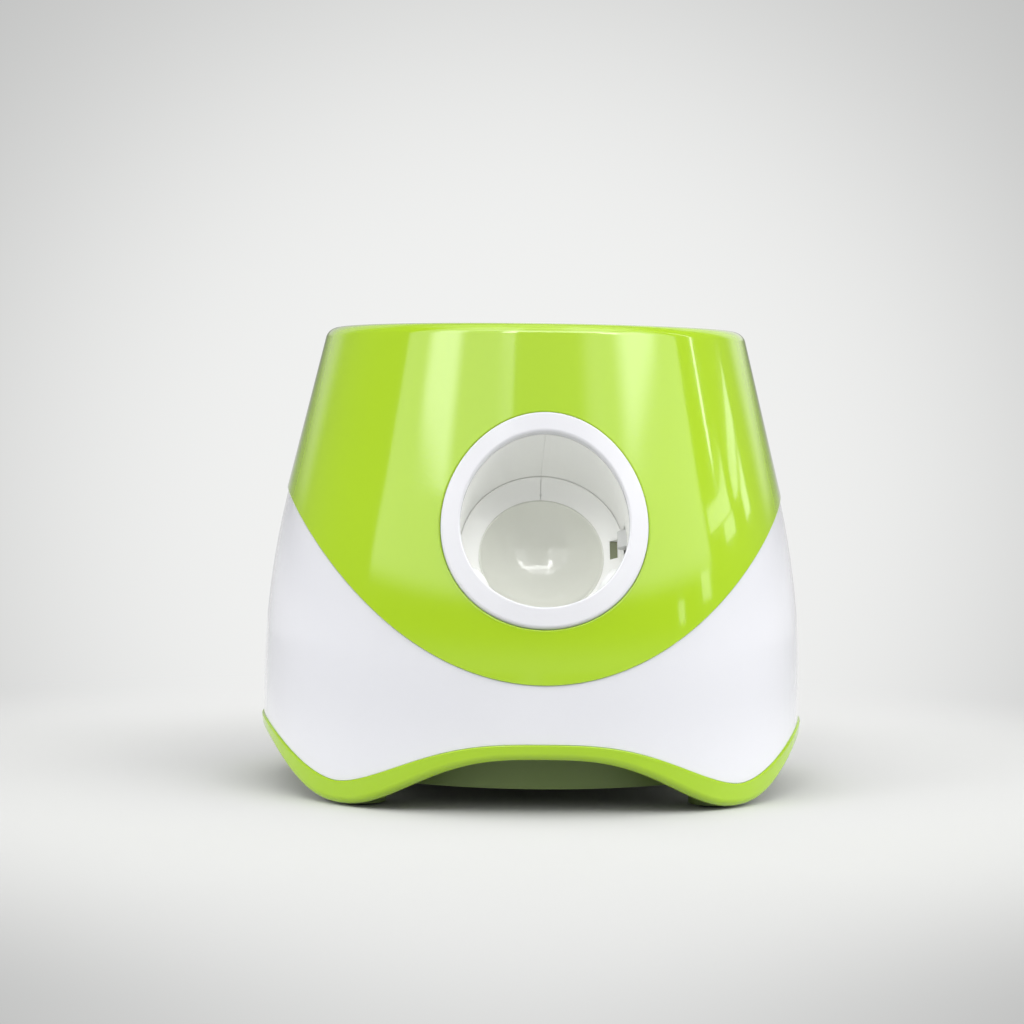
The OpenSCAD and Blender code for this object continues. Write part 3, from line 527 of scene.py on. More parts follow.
def lower_shell():
    B = Build(); g = -0.2; t = 2.6; NT = 360; r = 0.18; R0 = 100.0
    th = -pi / 2 + 2 * pi * np.arange(NT) / NT          # cut open at the left side
    zhi = border(th, g) - 0.02
    zlo = arch(arch_hi1, th) + 0.01
    PT, N1 = wall(th, zhi, g); T, I1 = edge_frame(PT, N1, np.array([0, 0, -1.0]))
    PB, N2 = wall(th, zlo, g); T, I2 = edge_frame(PB, N2, np.array([0, 0, 1.0]))

    def param(Q):
        a = np.arctan2(Q[:, 0], -Q[:, 1])
        a = np.where(a - th > pi, a - 2 * pi, np.where(a - th < -pi, a + 2 * pi, a))
        return np.stack([a * R0, Q[:, 2]], -1)
    top, bot = param(PT + I1 * r), param(PB + I2 * r)
    zcol = np.linspace(bot[0, 1], top[0, 1], 24)[1:-1]
    w = 2 * pi * R0
    outer = [tuple(p) for p in bot] + [(bot[0, 0] + w, bot[0, 1])]
    outer += [(bot[0, 0] + w + (top[0, 0] - bot[0, 0]) * (k + 1) / 23, z) for k, z in enumerate(zcol)]
    outer += [(top[0, 0] + w, top[0, 1])] + [tuple(p) for p in top[::-1]]
    outer += [(bot[0, 0] + (top[0, 0] - bot[0, 0]) * (k + 1) / 23, z) for k, z in enumerate(zcol)][::-1]
    # panel window and inlet hole at the back
    def from_xz(x, z, rad):
        return np.stack([(pi - np.arcsin(x / rad)) * R0, z], -1)
    rx, rz0, rz1, rc = 32.3, 44.7, 73.3, 2.5
    pts = []
    for cx, cz, a0 in ((rx - rc, rz0 + rc, -90), (rx - rc, rz1 - rc, 0), (-rx + rc, rz1 - rc, 90), (-rx + rc, rz0 + rc, 180)):
        for k in range(7):
            a = math.radians(a0 + 15 * k)
            pts.append((cx + rc * math.cos(a), cz + rc * math.sin(a)))
    full = []
    for p, q in zip(pts, pts[1:] + pts[:1]):
        n_ = max(1, int(math.hypot(q[0] - p[0], q[1] - p[1]) / 3))
        full += [(p[0] + (q[0] - p[0]) * k / n_, p[1] + (q[1] - p[1]) * k / n_) for k in range(n_)]
    W = np.array(full)
    A = 2 * pi * np.arange(48) / 48
    Cc = np.stack([6.3 * np.cos(A), 33 + 6.3 * np.sin(A)], -1)

    def opening(XZ, grow):
        c = XZ.mean(0); d = unit(XZ - c)
        Tn = unit(np.roll(XZ, -1, 0) - np.roll(XZ, 1, 0))
        On = np.stack([Tn[:, 1], -Tn[:, 0]], -1)
        On *= np.sign((On * d).sum(-1))[:, None]
        E = XZ + On * grow
        rad = rs(E[:, 1]) + g
        return from_xz(E[:, 0], E[:, 1], rad), E
    h1, E1 = opening(W, 0.5); h2, E2 = opening(Cc, 0.5)
    G = grid_points(-pi / 2 * R0 + 2.4, 1.5 * pi * R0 - 1.6, 8, 130, 4.0)
    tg = G[:, 0] / R0
    bz, az = border(tg, g) - 0.02, arch(arch_hi1, tg)
    xg = (rs(G[:, 1]) + g) * np.sin(tg)
    back = np.cos(tg) < 0
    keep = (G[:, 1] < bz - 2.8) & (G[:, 1] > az + 2.8)
    keep &= ~(back & (np.abs(xg) < rx + 2.6) & (G[:, 1] > rz0 - 2.6) & (G[:, 1] < rz1 + 2.6))
    keep &= ~(back & (np.hypot(xg, G[:, 1] - 33) < 6.3 + 2.6))
    X, F, loops = triangulate(outer, [[tuple(p) for p in h1], [tuple(p) for p in h2]], G[keep])
    PO, NO = wall(X[:, 0] / R0, X[:, 1], g)
    remap = np.arange(len(X)); oi = loops[0]; nc = len(zcol)
    right = oi[NT:NT + 1 + nc + 1]
    left = np.concatenate([[oi[0]], oi[NT + 1 + nc + 1 + NT:][::-1], [oi[NT + 1 + nc + NT]]])
    for a, b in zip(right, left):
        remap[a] = b
    F = remap[F]
    io = B.add(PO, NO); ii = B.add(PO - NO * t, -NO)
    B.f += [list(map(int, io[f])) for f in F] + [list(map(int, ii[f[::-1]])) for f in F]
    ib = remap[oi[:NT]]
    it = remap[oi[NT + 1 + nc + 1:NT + 1 + nc + 1 + NT][::-1]]
    # upper edge: rolls in, then a lip goes up behind the green shell
    rows = roll(B, PT, N1, I1, r); rows[0] = io[it]
    for up_, dep, nv in ((0, 1.9, -I1), (0.15, 2.05, -I1), (-5.6, 2.05, N1), (-6.0, 2.2, N1 - I1), (-6.0, 2.45, -N1 - I1), (-5.6, 2.6, -N1)):
        rows.append(B.add(PT + I1 * up_ - N1 * dep, unit(nv)))
    rows.append(ii[it]); B.rows(rows)
    # lower edge
    rows = roll(B, PB, N2, I2, r); rows[0] = io[ib]
    rows.append(B.add(PB - N2 * (t - 0.2), -I2)); rows.append(ii[ib]); B.rows(rows)
    # window and inlet hole
    for E, XZ, idx in ((E1, W, remap[loops[1]]), (E2, Cc, remap[loops[2]])):
        rad = rs(XZ[:, 1]) + g
        th0 = pi - np.arcsin(XZ[:, 0] / rad)
        Pw, Nw = wall(th0, XZ[:, 1], g)
        Po, _ = wall(pi - np.arcsin(E[:, 0] / (rs(E[:, 1]) + g)), E[:, 1], g)
        Iw = unit(Po - Pw)
        rows = [io[idx]]
        for k in range(1, 5):
            a = 0.5 * pi * k / 4
            rows.append(B.add(Pw + Iw * (0.5 - 0.5 * math.sin(a)) - Nw * (0.5 - 0.5 * math.cos(a)), Nw * math.cos(a) - Iw * math.sin(a)))
        rows.append(B.add(Pw - Nw * t, -Iw)); rows.append(ii[idx])
        B.rows(rows)
    return B.make('shell_lower', 'housing', WHITE, replaces=('lower_shell',))


def base_trim():
    B = Build(); NT = 480
    th = 2 * pi * np.arange(NT) / NT
    g = 0.6
    zhi = arch(arch_hi1, th) - 0.01
    zlo = np.maximum(arch(arch_lo1, th), PAD)
    PT, N1 = wall(th, zhi, g); _, I1 = edge_frame(PT, N1, np.array([0, 0, -1.0]))
    # the lower edge is drawn in by about a millimetre, as the face leans under there
    PB, N2 = wall(th, zlo, g - 0.25); _, I2 = edge_frame(PB, N2, np.array([0, 0, 1.0]))
    rt, rb = 0.45, 2.9
    t = 4.1
    rows = [B.add(PT - N1 * t, -N1), B.add(PT - N1 * 1.6, -I1)]
    rows += roll(B, PT, N1, I1, rt, 5)[::-1]
    A, C = PT + I1 * rt, PB + I2 * rb
    for k in (0.2, 0.4, 0.6, 0.8):
        M = A + (C - A) * k
        thm = np.arctan2(M[:, 0], -M[:, 1])
        gm = g - 0.25 * k * k
        pm, nm = wall(thm, M[:, 2], gm)
        rows.append(B.add(pm, nm))
    rows += roll(B, PB, N2, I2, rb, 7)
    rows.append(B.add(PB - N2 * (t - 0.25), -I2))
    B.rows(rows, loop=True)
    return B.make('trim_base', 'housing', GREEN_TRIM, replaces=('base_trim',))


def muzzle_ring():
    B = Build(); NT = 192
    ph = 2 * pi * np.arange(NT) / NT
    rad = np.multiply.outer(np.cos(ph), [1.0, 0, 0]) + np.multiply.outer(np.sin(ph), UPW)
    h = 1.7

    def face(rho, hh):
        p = ray_on_wall(np.full(NT, rho), ph, hh)
        _, n = wall(np.arctan2(p[:, 0], -p[:, 1]), p[:, 2], hh)
        return p, n
    rows = []
    p, n = face(RING, h - 4.0); rows.append(B.add(p, rad))
    ro_, ri_ = 0.75, 1.0
    pe, ne = face(RING, h)
    for k in range(7):
        a = pi / 2 * k / 6
        q, nq = face(RING - ro_ + ro_ * math.cos(a), h - ro_ + ro_ * math.sin(a))
        rows.append(B.add(q, unit(rad * math.cos(a) + nq * math.sin(a))))
    for rho in (35.2, 34.0, 32.8, 31.8):
        q, nq = face(rho, h); rows.append(B.add(q, nq))
    for k in range(8):
        a = pi / 2 + pi / 2 * k / 7
        q, nq = face(BORE + ri_ + ri_ * math.cos(a), h - ri_ + ri_ * math.sin(a))
        rows.append(B.add(q, unit(rad * math.cos(a) + nq * math.sin(a))))
    q, nq = face(BORE, -0.9); rows.append(B.add(q, -rad))
    q, nq = face(BORE + 0.25, -1.15); rows.append(B.add(q, unit(-rad - nq)))
    q, nq = face(BORE + 2.5, -1.15); rows.append(B.add(q, -nq))
    q, nq = face(BORE + 2.6, h - 4.0); rows.append(B.add(q, -rad))
    B.rows(rows, loop=True)
    return B.make('ring_muzzle', 'housing', RINGM, replaces=('muzzle_ring',))


upper_shell()
lower_shell()
base_trim()
muzzle_ring()


# ---------------------------------------------------------------- finer versions of turned and small parts
def bar_mat():
    """Matrix of the barrel frame: local z runs inwards along the barrel, local y points down. Metres."""
    m = Matrix(((1, 0, 0, 0), (0, -SE, CE, 0), (0, -CE, -SE, 0), (0, 0, 0, 1)))
    m.translation = Vector(M0 * 0.001)
    return m


BAR = bar_mat()


def obj_from(V, F, name, mat=None):
    me = bpy.data.meshes.new(name)
    me.from_pydata([tuple(v) for v in V], [], [list(map(int, f)) for f in F])
    me.update()
    bm = bmesh.new(); bm.from_mesh(me)
    bmesh.ops.recalc_face_normals(bm, faces=bm.faces)
    bad = sum(1 for e_ in bm.edges if not e_.is_manifold)
    bm.to_mesh(me); bm.free()
    if bad:
        print('open edges', name, bad)
    if mat is not None:
        me.transform(mat)
    ob = bpy.data.objects.new(name, me)
    scene.collection.objects.link(ob)
    return ob


def lathe(name, prof, seg=128, mat=None, closed=False):
    """Turned solid about local z. prof is a list of (radius, height) in mm; an open one starts and ends on the axis."""
    V, F, rows = [], [], []
    A = 2 * pi * np.arange(seg) / seg
    for r, z in prof:
        if r < 1e-6:
            rows.append([len(V)]); V.append((0, 0, z * 0.001))
        else:
            rows.append(list(range(len(V), len(V) + seg)))
            V += [(r * math.cos(a) * 0.001, r * math.sin(a) * 0.001, z * 0.001) for a in A]
    pairs = list(zip(rows, rows[1:] + (rows[:1] if closed else [])))
    if not closed:
        pairs = pairs[:len(rows) - 1]
    for a, b in pairs:
        for k in range(seg):
            j = (k + 1) % seg
            q = [a[k % len(a)], a[j % len(a)], b[j % len(b)], b[k % len(b)]]
            q = [v for n, v in enumerate(q) if v != q[n - 1]]
            if len(q) > 2:
                F.append(q)
    return obj_from(V, F, name, mat)


def arc(cx, cz, r, a0, a1, n):
    return [(cx + r * math.cos(math.radians(a0 + (a1 - a0) * k / n)), cz + r * math.sin(math.radians(a0 + (a1 - a0) * k / n))) for k in range(n + 1)]


def prism(name, x0, x1, y0, y1, z0, z1, mat=None):
    V = [(x * 0.001, y * 0.001, z * 0.001) for z in (z0, z1) for y in (y0, y1) for x in (x0, x1)]
    F = [(0, 2, 3, 1), (4, 5, 7, 6), (0, 1, 5, 4), (2, 6, 7, 3), (0, 4, 6, 2), (1, 3, 7, 5)]
    return obj_from(V, F, name, mat)


def boolean(a, b, op):
    m = a.modifiers.new('b', 'BOOLEAN'); m.object = b; m.operation = op; m.solver = 'EXACT'
    bpy.context.view_layer.update()
    me = bpy.data.meshes.new_from_object(a.evaluated_get(bpy.context.evaluated_depsgraph_get()))
    a.modifiers.clear(); old = a.data; a.data = me
    bpy.data.meshes.remove(old); bpy.data.objects.remove(b)
    return a


def tidy(ob, name, body, mat, angle=32, bevel=0.0, seg=3, replaces=(), weighted=True):
    """Name, material, shading and body of a piece."""
    ob.name = name; ob.data.name = name
    ob.data.materials.clear(); ob.data.materials.append(mat)
    bm = bmesh.new(); bm.from_mesh(ob.data)
    bmesh.ops.remove_doubles(bm, verts=bm.verts, dist=2e-6)
    if bevel:
        bmesh.ops.dissolve_limit(bm, angle_limit=math.radians(2.0), verts=bm.verts, edges=bm.edges)
    bm.to_mesh(ob.data); bm.free()
    for p_ in ob.data.polygons:
        p_.use_smooth = True
    ob.data.set_sharp_from_angle(angle=math.radians(angle))
    if bevel:
        m = ob.modifiers.new('bevel', 'BEVEL'); m.width = bevel; m.segments = seg; m.limit_method = 'ANGLE'
        m.angle_limit = math.radians(angle); m.harden_normals = True
        m.use_clamp_overlap = True
    elif weighted:
        m = ob.modifiers.new('wn', 'WEIGHTED_NORMAL'); m.keep_sharp = True
    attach(ob, body)
    if replaces:
        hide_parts(*replaces)
    return ob


def finer(nd, name, body, mat, bevel=0.00035, seg=3, angle=32):
    """The node's own mesh with rounded edges."""
    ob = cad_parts[nd]
    cp = bpy.data.objects.new(name, ob.data.copy())
    scene.collection.objects.link(cp)
    return tidy(cp, name, body, mat, angle, bevel, seg, replaces=(nd,))


def wall_profile(off, z0, z1):
    zz = [z0] + [z for z in range(int(z0) + 2, int(z1), 3)] + [z1]
    return [(0, z0)] + [(float(rs(z)) + off, z) for z in zz] + [(0, z1)]


UF = 31.0          # face of the striker at rest
LY = -7.5          # height of the ball sensor below the barrel axis
UC = 42.5 + 27.0   # chute axis along the barrel
CHU = Matrix.Translation(Vector((M0 + INW * UC) * 0.001)) @ Matrix.Rotation(-TILT, 4, 'X')


def tube_rod(name, r, u0, u1, seg=160, mat=None):
    return lathe(name, [(0, u0), (r, u0), (r, u1), (0, u1)], seg, BAR if mat is None else mat)


def barrel():
    for side in ('left', 'right'):
        finer('barrel_' + side, 'barrel_half_' + side, 'housing', BARREL, bevel=0.0, angle=30)


def striker_face():
    R, F = 25.0, 29.85
    cz_ = -0.9 - math.sqrt(R * R - 22.2 ** 2)
    up = Matrix.Translation((0, 0, UF * 0.001))
    rows = [(0, cz_ + R)]
    for k in range(1, 31):
        a = math.asin(22.1 / R) * k / 30
        rows.append((R * math.sin(a), cz_ + R * math.cos(a)))
    rows += [(22.35, -0.93), (22.6, -0.86), (22.8, -0.95), (22.8, 5.3), (22.5, 5.6), (22.5, 10.5),
             (22.4, 10.6), (19.9, 10.6), (19.9, 15), (15, 15), (15, 14.2), (0, 14.2)]
    tidy(lathe('face', rows, 192, BAR @ up), 'striker_dish', 'striker', DISH, 30, replaces=('striker_head',))
    rim = [(22.85, 5.2), (22.85, -0.95), (23.0, -1.05)]
    for k in range(1, 13):
        u_ = k / 12
        rim.append((23.0 + (F - 0.2 - 23.0) * (1 - (1 - u_) ** 1.6), -1.05 + (-6.3 + 1.05) * u_))
    rim += [(F - 0.05, -6.3), (F, -6.2), (F, -1.6), (F - 0.15, -1.2), (23.2, 5.2)]
    a = lathe('rim', rim, 192, BAR @ up, closed=True)
    boolean(a, prism('t1', 24.9, 27.7, -5.8, 1.4, UF - 8, UF - 1.3, BAR), 'DIFFERENCE')
    boolean(a, prism('t2', -0.07, 0.07, -33, -22, UF - 8, UF + 0.2, BAR), 'DIFFERENCE')
    boolean(a, prism('t3', -0.4, 0.4, -24.8, -22, UF - 8, UF - 1.6, BAR), 'DIFFERENCE')
    tidy(a, 'striker_rim', 'striker', BARREL, 30)
    # the floor of the little window in the rim: a dark greenish plate whose colour is painted shade for the dim
    # interior behind the window
    tidy(prism('slot', 24.95, 27.65, -5.75, 1.35, UF - 2.0, UF - 1.35, BAR), 'striker_window_shade', 'striker', SLOT_SHADE, 30, weighted=False)


def rests():
    for sgn, nm in ((-1, 'left'), (1, 'right')):
        rot = Matrix.Translation((0, 0, 0.0174)) @ Matrix.Rotation(math.radians(35 if sgn > 0 else 145), 4, 'Z') @ Matrix.Rotation(pi / 2, 4, 'Y')
        pr = [(0, 26.0), (1.2, 26.02), (2.4, 26.15), (3.5, 26.45)] + arc(3.6, 29.0, 2.6, -85, 0, 8) + [(6.2, 32.0), (6.0, 32.2), (0, 32.2)]
        ob = lathe('rest', pr, 96, BAR @ rot)
        tidy(ob, 'ball_stop_' + nm, 'housing', NUB, 40, replaces=('ball_rest_' + nm,))


def bowl():
    t = TOP - 1.6
    pr = [(73.7, t), (73.9, t - 0.2), (73.9, t - 6.2), (74.1, t - 6.4), (78.1, t - 6.6), (78.4, t - 6.9), (78.4, t - 8.5), (78.1, t - 8.8), (74.1, t - 9.0), (73.85, t - 9.3)]
    n = 10
    outer = [(73.4, 152.0), (66.0, 142.5), (31.0, 125.2), (29.6, 123.2)]
    inner = [(27.6, 124.6), (30.0, 127.2), (64.6, 144.3), (71.4, 153.0), (71.6, t - 0.6)]

    def soften(pts, k=6, q=0.22):
        out = [pts[0]]
        for a, b, c in zip(pts, pts[1:], pts[2:]):
            a, b, c = map(np.array, (a, b, c))
            la, lc = np.linalg.norm(a - b), np.linalg.norm(c - b)
            d = min(la, lc) * 0.45
            p0, p1 = b + (a - b) / la * d, b + (c - b) / lc * d
            for j in range(k + 1):
                u_ = j / k
                out.append(tuple((1 - u_) ** 2 * p0 + 2 * u_ * (1 - u_) * b + u_ * u_ * p1))
        return out + [pts[-1]]
    pr += soften([(73.8, t - 9.6)] + outer + [(29.6, 121.6)]) + [(29.4, 121.4), (27.9, 121.4)]
    pr += soften([(27.6, 121.7)] + inner + [(72.2, t)])[:-1] + [(71.75, t - 0.25), (72.0, t)]
    ob = lathe('bowl', pr, 256, closed=True)
    return tidy(ob, 'hopper_funnel', 'housing', BOWL, 40, replaces=('hopper_bowl',))


def sweep_tube(name, pts, r, k=12):
    """Closed round tube along points in mm."""
    P = np.array(pts, float)
    T = np.gradient(P, axis=0); T /= np.linalg.norm(T, axis=1, keepdims=True)
    ref = np.array([1.0, 0.2, 0.1]); U = np.cross(T[0], ref); U /= np.linalg.norm(U)
    V, F, rings = [], [], []
    for i in range(len(P)):
        U = U - T[i] * (U @ T[i]); U /= np.linalg.norm(U)
        W = np.cross(T[i], U)
        rings.append(list(range(len(V), len(V) + k)))
        V += [tuple((P[i] + r * (math.cos(2 * pi * j / k) * U + math.sin(2 * pi * j / k) * W)) * 0.001) for j in range(k)]
    for a, b in zip(rings, rings[1:]):
        F += [(a[j], a[(j + 1) % k], b[(j + 1) % k], b[j]) for j in range(k)]
    for ring, p_ in ((rings[0], P[0]), (rings[-1], P[-1])):
        c = len(V); V.append(tuple(p_ * 0.001))
        F += [(ring[j], ring[(j + 1) % k], c) for j in range(k)]
    return obj_from(V, F, name)


def spring():
    u0, u1, wd, rr_, nc = UF + 17.2, 147.4, 2.2, 17.4, 12
    L = u1 - u0 - wd
    pts = []
    for i in range(36 * nc + 1):
        t_ = i / (36.0 * nc); a = 2 * pi * nc * t_
        x, y, z = rr_ * math.cos(a), rr_ * math.sin(a), u0 + wd / 2 + L * t_
        pts.append(M0 + np.array([x, 0, 0]) - UPW * y + INW * z)
    ob = sweep_tube('spring', pts, wd / 2, 10)
    tidy(ob, 'spring_coil', 'housing', STEEL, 60, replaces=('launch_spring',), weighted=False)
    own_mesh(ob)


def leads():
    sy, sz = -95.4 + 98 * CE - 18 * SE, 104.8 - 98 * SE - 18 * CE
    c_y, c_z = sy + 22.4 * math.cos(math.radians(200)), sz + 22.4 * math.sin(math.radians(200))
    py, pz = c_y + 20 * math.cos(math.radians(70)), c_z + 20 * math.sin(math.radians(70))

    def bez(p0, p1, p2, p3):
        p0, p1, p2, p3 = map(np.array, (p0, p1, p2, p3))
        return [(1 - t_) ** 3 * p0 + 3 * t_ * (1 - t_) ** 2 * p1 + 3 * t_ * t_ * (1 - t_) * p2 + t_ ** 3 * p3 for t_ in np.linspace(0, 1, 30)]
    for nm, nd, sets in (('motor_wires', 'motor_leads', [([85.9, py + 1.6, pz + 2.2 - 4.4 * k], [95, py + 6, pz + 8 - 6 * k], [78, 52, 72 - 6 * k], [30 - 4 * k, 84.2, 66 - 4 * k]) for k in (0, 1)]),
                         ('battery_wires', 'battery_leads', [([-46 - 6 * k, 29.2, 50], [-46 - 6 * k, 52, 54], [-44 - 4 * k, 66, 52], [-30 - 4 * k, 84.2, 56 - 4 * k]) for k in (0, 1)])):
        obs = [sweep_tube('w', bez(*q), 0.8, 14) for q in sets]
        V, F, off = [], [], 0
        for o in obs:
            V += [tuple(v.co) for v in o.data.vertices]; F += [[i + off for i in p_.vertices] for p_ in o.data.polygons]; off = len(V)
            bpy.data.objects.remove(o)
        ob = obj_from(V, F, nm)
        tidy(ob, nm, 'housing', LEAD_R, 60, replaces=(nd,), weighted=False)


barrel()
striker_face()
rests()
bowl()
spring()
leads()
finer('control_panel', 'panel_frame', 'housing', PANEL, 0.0005)
finer('power_button', 'button_power', 'power_key', REDB, 0.0004)
finer('distance_button', 'button_distance', 'distance_key', WHITEB, 0.0004)
finer('power_inlet', 'inlet_socket', 'housing', BLACK, 0.0003)
finer('battery_door', 'door_battery', 'door', TRAY, 0.0003)
finer('sensor_lever', 'lever_sensor', 'lever', LEVER, 0.00025)
finer('foot_pads', 'pads_foot', 'housing', RUBBER, 0.0002)


# ---------------------------------------------------------------- stage, light and camera
class Graph:
    """Short hands for chains of math nodes."""
    def __init__(self, nt):
        self.nt = nt

    def put(self, socket, v):
        if isinstance(v, (int, float)):
            socket.default_value = v
        else:
            self.nt.links.new(v, socket)

    def math(self, op, a, b=None, c=None, clamp=False):
        n = self.nt.nodes.new('ShaderNodeMath'); n.operation = op; n.use_clamp = clamp
        for k, v in enumerate((a, b, c)):
            if v is not None:
                self.put(n.inputs[k], v)
        return n.outputs[0]

    def step(self, x, lo, hi):
        n = self.nt.nodes.new('ShaderNodeMapRange'); n.interpolation_type = 'SMOOTHSTEP'
        self.put(n.inputs['Value'], x)
        n.inputs['From Min'].default_value = lo; n.inputs['From Max'].default_value = hi
        n.inputs['To Min'].default_value = 0; n.inputs['To Max'].default_value = 1
        return n.outputs[0]

    def window(self, x, lo, hi, soft_lo, soft_hi):
        a = self.step(x, lo - soft_lo / 2, lo + soft_lo / 2)
        b = self.step(x, hi - soft_hi / 2, hi + soft_hi / 2)
        return self.math('MULTIPLY', a, self.math('SUBTRACT', 1.0, b))


def stage_mat(name):
    """Pale paper: lit like paper near the object; further away an emission glow, painted light that is even and gently
    falls off.
    """
    m = bpy.data.materials.new(name); m.use_nodes = True
    nt = m.node_tree
    for n in list(nt.nodes):
        nt.nodes.remove(n)
    G = Graph(nt)
    out = nt.nodes.new('ShaderNodeOutputMaterial')
    bs = nt.nodes.new('ShaderNodeBsdfPrincipled')
    painted_glow = nt.nodes.new('ShaderNodeEmission')
    mx = nt.nodes.new('ShaderNodeMixShader')
    tc = nt.nodes.new('ShaderNodeTexCoord')
    sp = nt.nodes.new('ShaderNodeSeparateXYZ')
    nt.links.new(tc.outputs['Object'], sp.inputs[0])
    x, y, z = sp.outputs
    r2 = G.math('ADD', G.math('MULTIPLY', x, x), G.math('MULTIPLY', y, y))
    r = G.math('SQRT', r2)
    # mix weight: real paper near the object, the painted glow further out
    w = G.step(r, FAR0, FAR1)
    nt.links.new(w, mx.inputs[0])
    nt.links.new(bs.outputs[0], mx.inputs[1]); nt.links.new(painted_glow.outputs[0], mx.inputs[2])
    nt.links.new(mx.outputs[0], out.inputs[0])
    noise = nt.nodes.new('ShaderNodeTexNoise'); noise.inputs['Scale'].default_value = 3.0
    nt.links.new(tc.outputs['Object'], noise.inputs['Vector'])
    mix = nt.nodes.new('ShaderNodeMix'); mix.data_type = 'RGBA'
    mix.inputs[6].default_value = (*PAPER, 1); mix.inputs[7].default_value = (*[c * 0.99 for c in PAPER], 1)
    nt.links.new(noise.outputs['Fac'], mix.inputs[0]); nt.links.new(mix.outputs[2], bs.inputs['Base Color'])
    bs.inputs['Roughness'].default_value = 0.9
    bs.inputs['Specular IOR Level'].default_value = 0.1
    # painted light: an emitted pool of light round the object that slowly falls off towards the far corners
    dd = G.math('MAXIMUM', G.math('ADD', y, 1.0), 0.55)
    xc = G.math('SUBTRACT', G.math('ADD', x, 0.0082), G.math('MULTIPLY', y, 0.0365))
    zc = G.math('ADD', G.math('SUBTRACT', z, 0.1395), G.math('MULTIPLY', dd, 0.03506))
    q = G.math('ADD', G.math('MULTIPLY', xc, xc), G.math('MULTIPLY', zc, zc))
    q = G.math('DIVIDE', G.math('MULTIPLY', q, 28.36), G.math('MULTIPLY', dd, dd))
    q = G.math('ADD', G.math('MULTIPLY', G.math('POWER', q, 2.25), 0.40), 1.0)
    e_ = G.math('ADD', G.math('DIVIDE', 0.455, q), 0.43)
    nt.links.new(e_, painted_glow.inputs['Strength'])
    painted_glow.inputs['Color'].default_value = (0.995, 1.0, 0.99, 1)
    return m


PAPER = (0.56, 0.562, 0.557)
FAR0, FAR1 = 0.17, 0.42
FLOOR_PAPER_GLOW = stage_mat('floor_paper_glow')


def backdrop():
    """Floor, and behind it a curve that rises into a back wall."""
    prof = [(-2.5, 0.0), (-1.0, 0.0), (0.0, 0.0), (0.9, 0.0)]
    back = [(0.9, 0.0), (1.2, 0.0)]
    for k in range(1, 25):
        a = pi / 2 * k / 24
        back.append((1.2 + 0.9 * math.sin(a), 0.9 - 0.9 * math.cos(a)))
    back.append((2.1, 3.0))
    for nm, pr in (('floor_paper_glow', prof), ('back_paper', back)):
        me = bpy.data.meshes.new(nm)
        v, f = [], []
        for y, z in pr:
            v += [(-3, y, z), (3, y, z)]
        for k in range(len(pr) - 1):
            f.append((2 * k, 2 * k + 1, 2 * k + 3, 2 * k + 2))
        me.from_pydata(v, [], f); me.update()
        for p_ in me.polygons:
            p_.use_smooth = True
        ob = bpy.data.objects.new(nm, me); scene.collection.objects.link(ob)
        me.materials.append(FLOOR_PAPER_GLOW)
        if nm == 'back_paper':
            ob.visible_glossy = False      # the dark sides of the studio show in the gloss instead


backdrop()

# softboxes as directions: azimuth 0 is the front, positive to the right; elevation up
w = bpy.data.worlds.new('studio') if not scene.world else scene.world
scene.world = w
w.use_nodes = True
nt = w.node_tree
for n in list(nt.nodes):
    nt.nodes.remove(n)
G = Graph(nt)
wo = nt.nodes.new('ShaderNodeOutputWorld'); bg = nt.nodes.new('ShaderNodeBackground')
nt.links.new(bg.outputs[0], wo.inputs[0])
tc = nt.nodes.new('ShaderNodeTexCoord'); sp = nt.nodes.new('ShaderNodeSeparateXYZ')
nt.links.new(tc.outputs['Generated'], sp.inputs[0])
X, Y, Z = sp.outputs
DEG = 180 / pi
AZ = G.math('MULTIPLY', G.math('ARCTAN2', X, G.math('MULTIPLY', Y, -1.0)), DEG)
EL = G.math('MULTIPLY', G.math('ARCSINE', Z), DEG)


def box_light(az0, az1, el0, el1, sa, se_, level):
    """A soft-edged bright rectangle in direction space."""
    sl, sr = sa if isinstance(sa, tuple) else (sa, sa)
    a = G.window(AZ, az0, az1, sl, sr); b = G.window(EL, el0, el1, se_, se_)
    return G.math('MULTIPLY', G.math('MULTIPLY', a, b), level)


parts = [
    box_light(-77.5, -14, 10, 75, 2.0, 4.0, 1.25),     # front bank, left half
    box_light(26, 82.0, 10, 75, (14.0, 2.0), 4.0, 1.25),   # front bank, right half
    box_light(-20, 30, 10, 75, 10.0, 4.0, 0.42),       # between them
    box_light(-63, -45, 23.9, 46, 7.0, 1.8, 2.7),      # left softbox
    box_light(45, 70, 24.4, 46, 12.0, 1.8, 2.7),       # right softbox
    box_light(-46, 50, 48, 56, 14.0, 6.0, 2.2),        # overhead front strip
    box_light(-19, 42, 40.5, 47, 5.0, 2.5, 5.0),       # its bright lower edge
    box_light(-22, -14, 31, 42, 3.0, 2.0, 6.0),        # and the two ends, bent down
    box_light(37, 48, 31, 42, 4.0, 2.0, 5.0),
    box_light(-80, 100, 77, 79, 2.0, 1.2, 3.0),        # bright edges of the frame
    box_light(92.6, 94.0, 17.3, 78, 0.6, 0.8, 5.5),
    box_light(-200, 200, 60, 95, 0.1, 16.0, 0.7),      # ceiling
    box_light(-200, 200, -95, 2, 0.1, 6.0, 0.42),      # the floor further out
    box_light(131, 200, 7.0, 46, 12.0, 4.0, 0.55),     # behind, right and left
    box_light(-200, -134, 7.5, 46, 14.0, 4.0, 0.32),
]
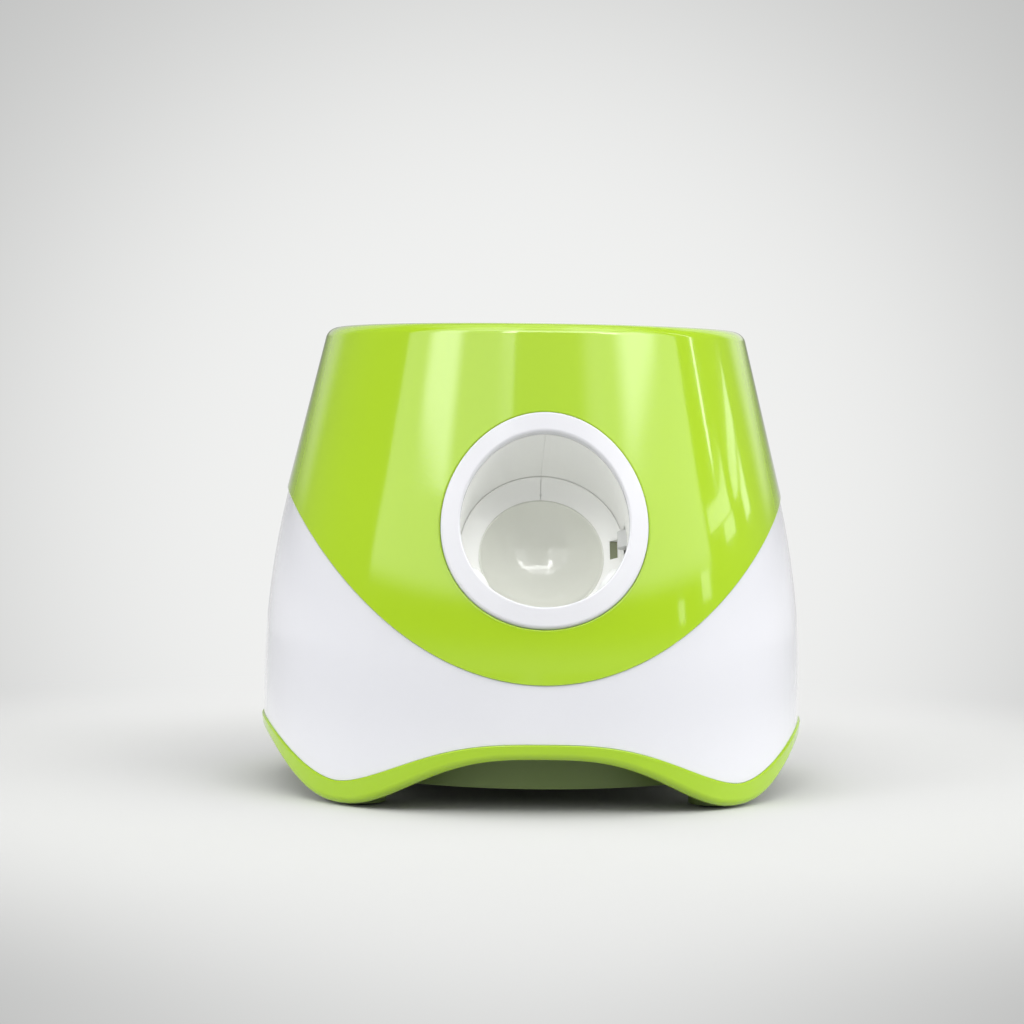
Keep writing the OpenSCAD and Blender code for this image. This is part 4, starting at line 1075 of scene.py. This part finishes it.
# a window with bars at the right
for a0, a1, e0, e1 in ((104.5, 116, 13.5, 14.9), (110.5, 115.5, 10.4, 13.0), (84, 100, 13.4, 16.2), (93, 101, 11.0, 13.1), (75, 80, 6.4, 9.8), (62, 65, 4.4, 7.4)):
    parts.append(box_light(a0, a1, e0, e1, 1.0, 0.4, 1.8))
tot = 0.22
for q in parts:
    tot = G.math('ADD', tot, q)
nt.links.new(tot, bg.inputs['Strength'])
bg.inputs['Color'].default_value = (1, 1, 1, 1)

def fill(name, loc, size, power):
    """Large cross-polarised fill light aimed at the body: it lights without showing in the gloss."""
    li = bpy.data.lights.new(name, 'AREA')
    li.shape = 'RECTANGLE'; li.size, li.size_y = size; li.energy = power
    ob = bpy.data.objects.new(name, li); scene.collection.objects.link(ob)
    ob.location = loc
    ob.rotation_euler = (Vector(loc) - Vector((0, 0, 0.08))).to_track_quat('Z', 'Y').to_euler()
    ob.visible_glossy = False
    return ob


fill('fill_left', (-1.15, 0.15, 0.42), (1.2, 0.8), 8.5)
fill('fill_right', (1.15, 0.10, 0.42), (1.2, 0.8), 9.5)

AZ_C, AIM, PITCH, ROLL, HC = 2.565, 0.477, 2.012, 0.709, 0.1395
cam = bpy.data.cameras.new('camera')
cam.sensor_width = 36.0
cam.lens = 2567.0 * 36.0 / 1024.0
co = bpy.data.objects.new('camera', cam); scene.collection.objects.link(co)
a_, b_, r_ = math.radians(AZ_C - AIM), math.radians(PITCH), math.radians(ROLL)
fw = Vector((math.sin(a_) * math.cos(b_), math.cos(a_) * math.cos(b_), -math.sin(b_)))
rt = fw.cross(Vector((0, 0, 1))).normalized(); up = rt.cross(fw)
rt2 = rt * math.cos(r_) + up * math.sin(r_); up2 = up * math.cos(r_) - rt * math.sin(r_)
co.location = (-math.sin(math.radians(AZ_C)), -math.cos(math.radians(AZ_C)), HC)
co.rotation_euler = Matrix((rt2, up2, -fw)).transposed().to_euler()
scene.camera = co
scene.view_settings.view_transform = 'Standard'
scene.view_settings.look = 'None'
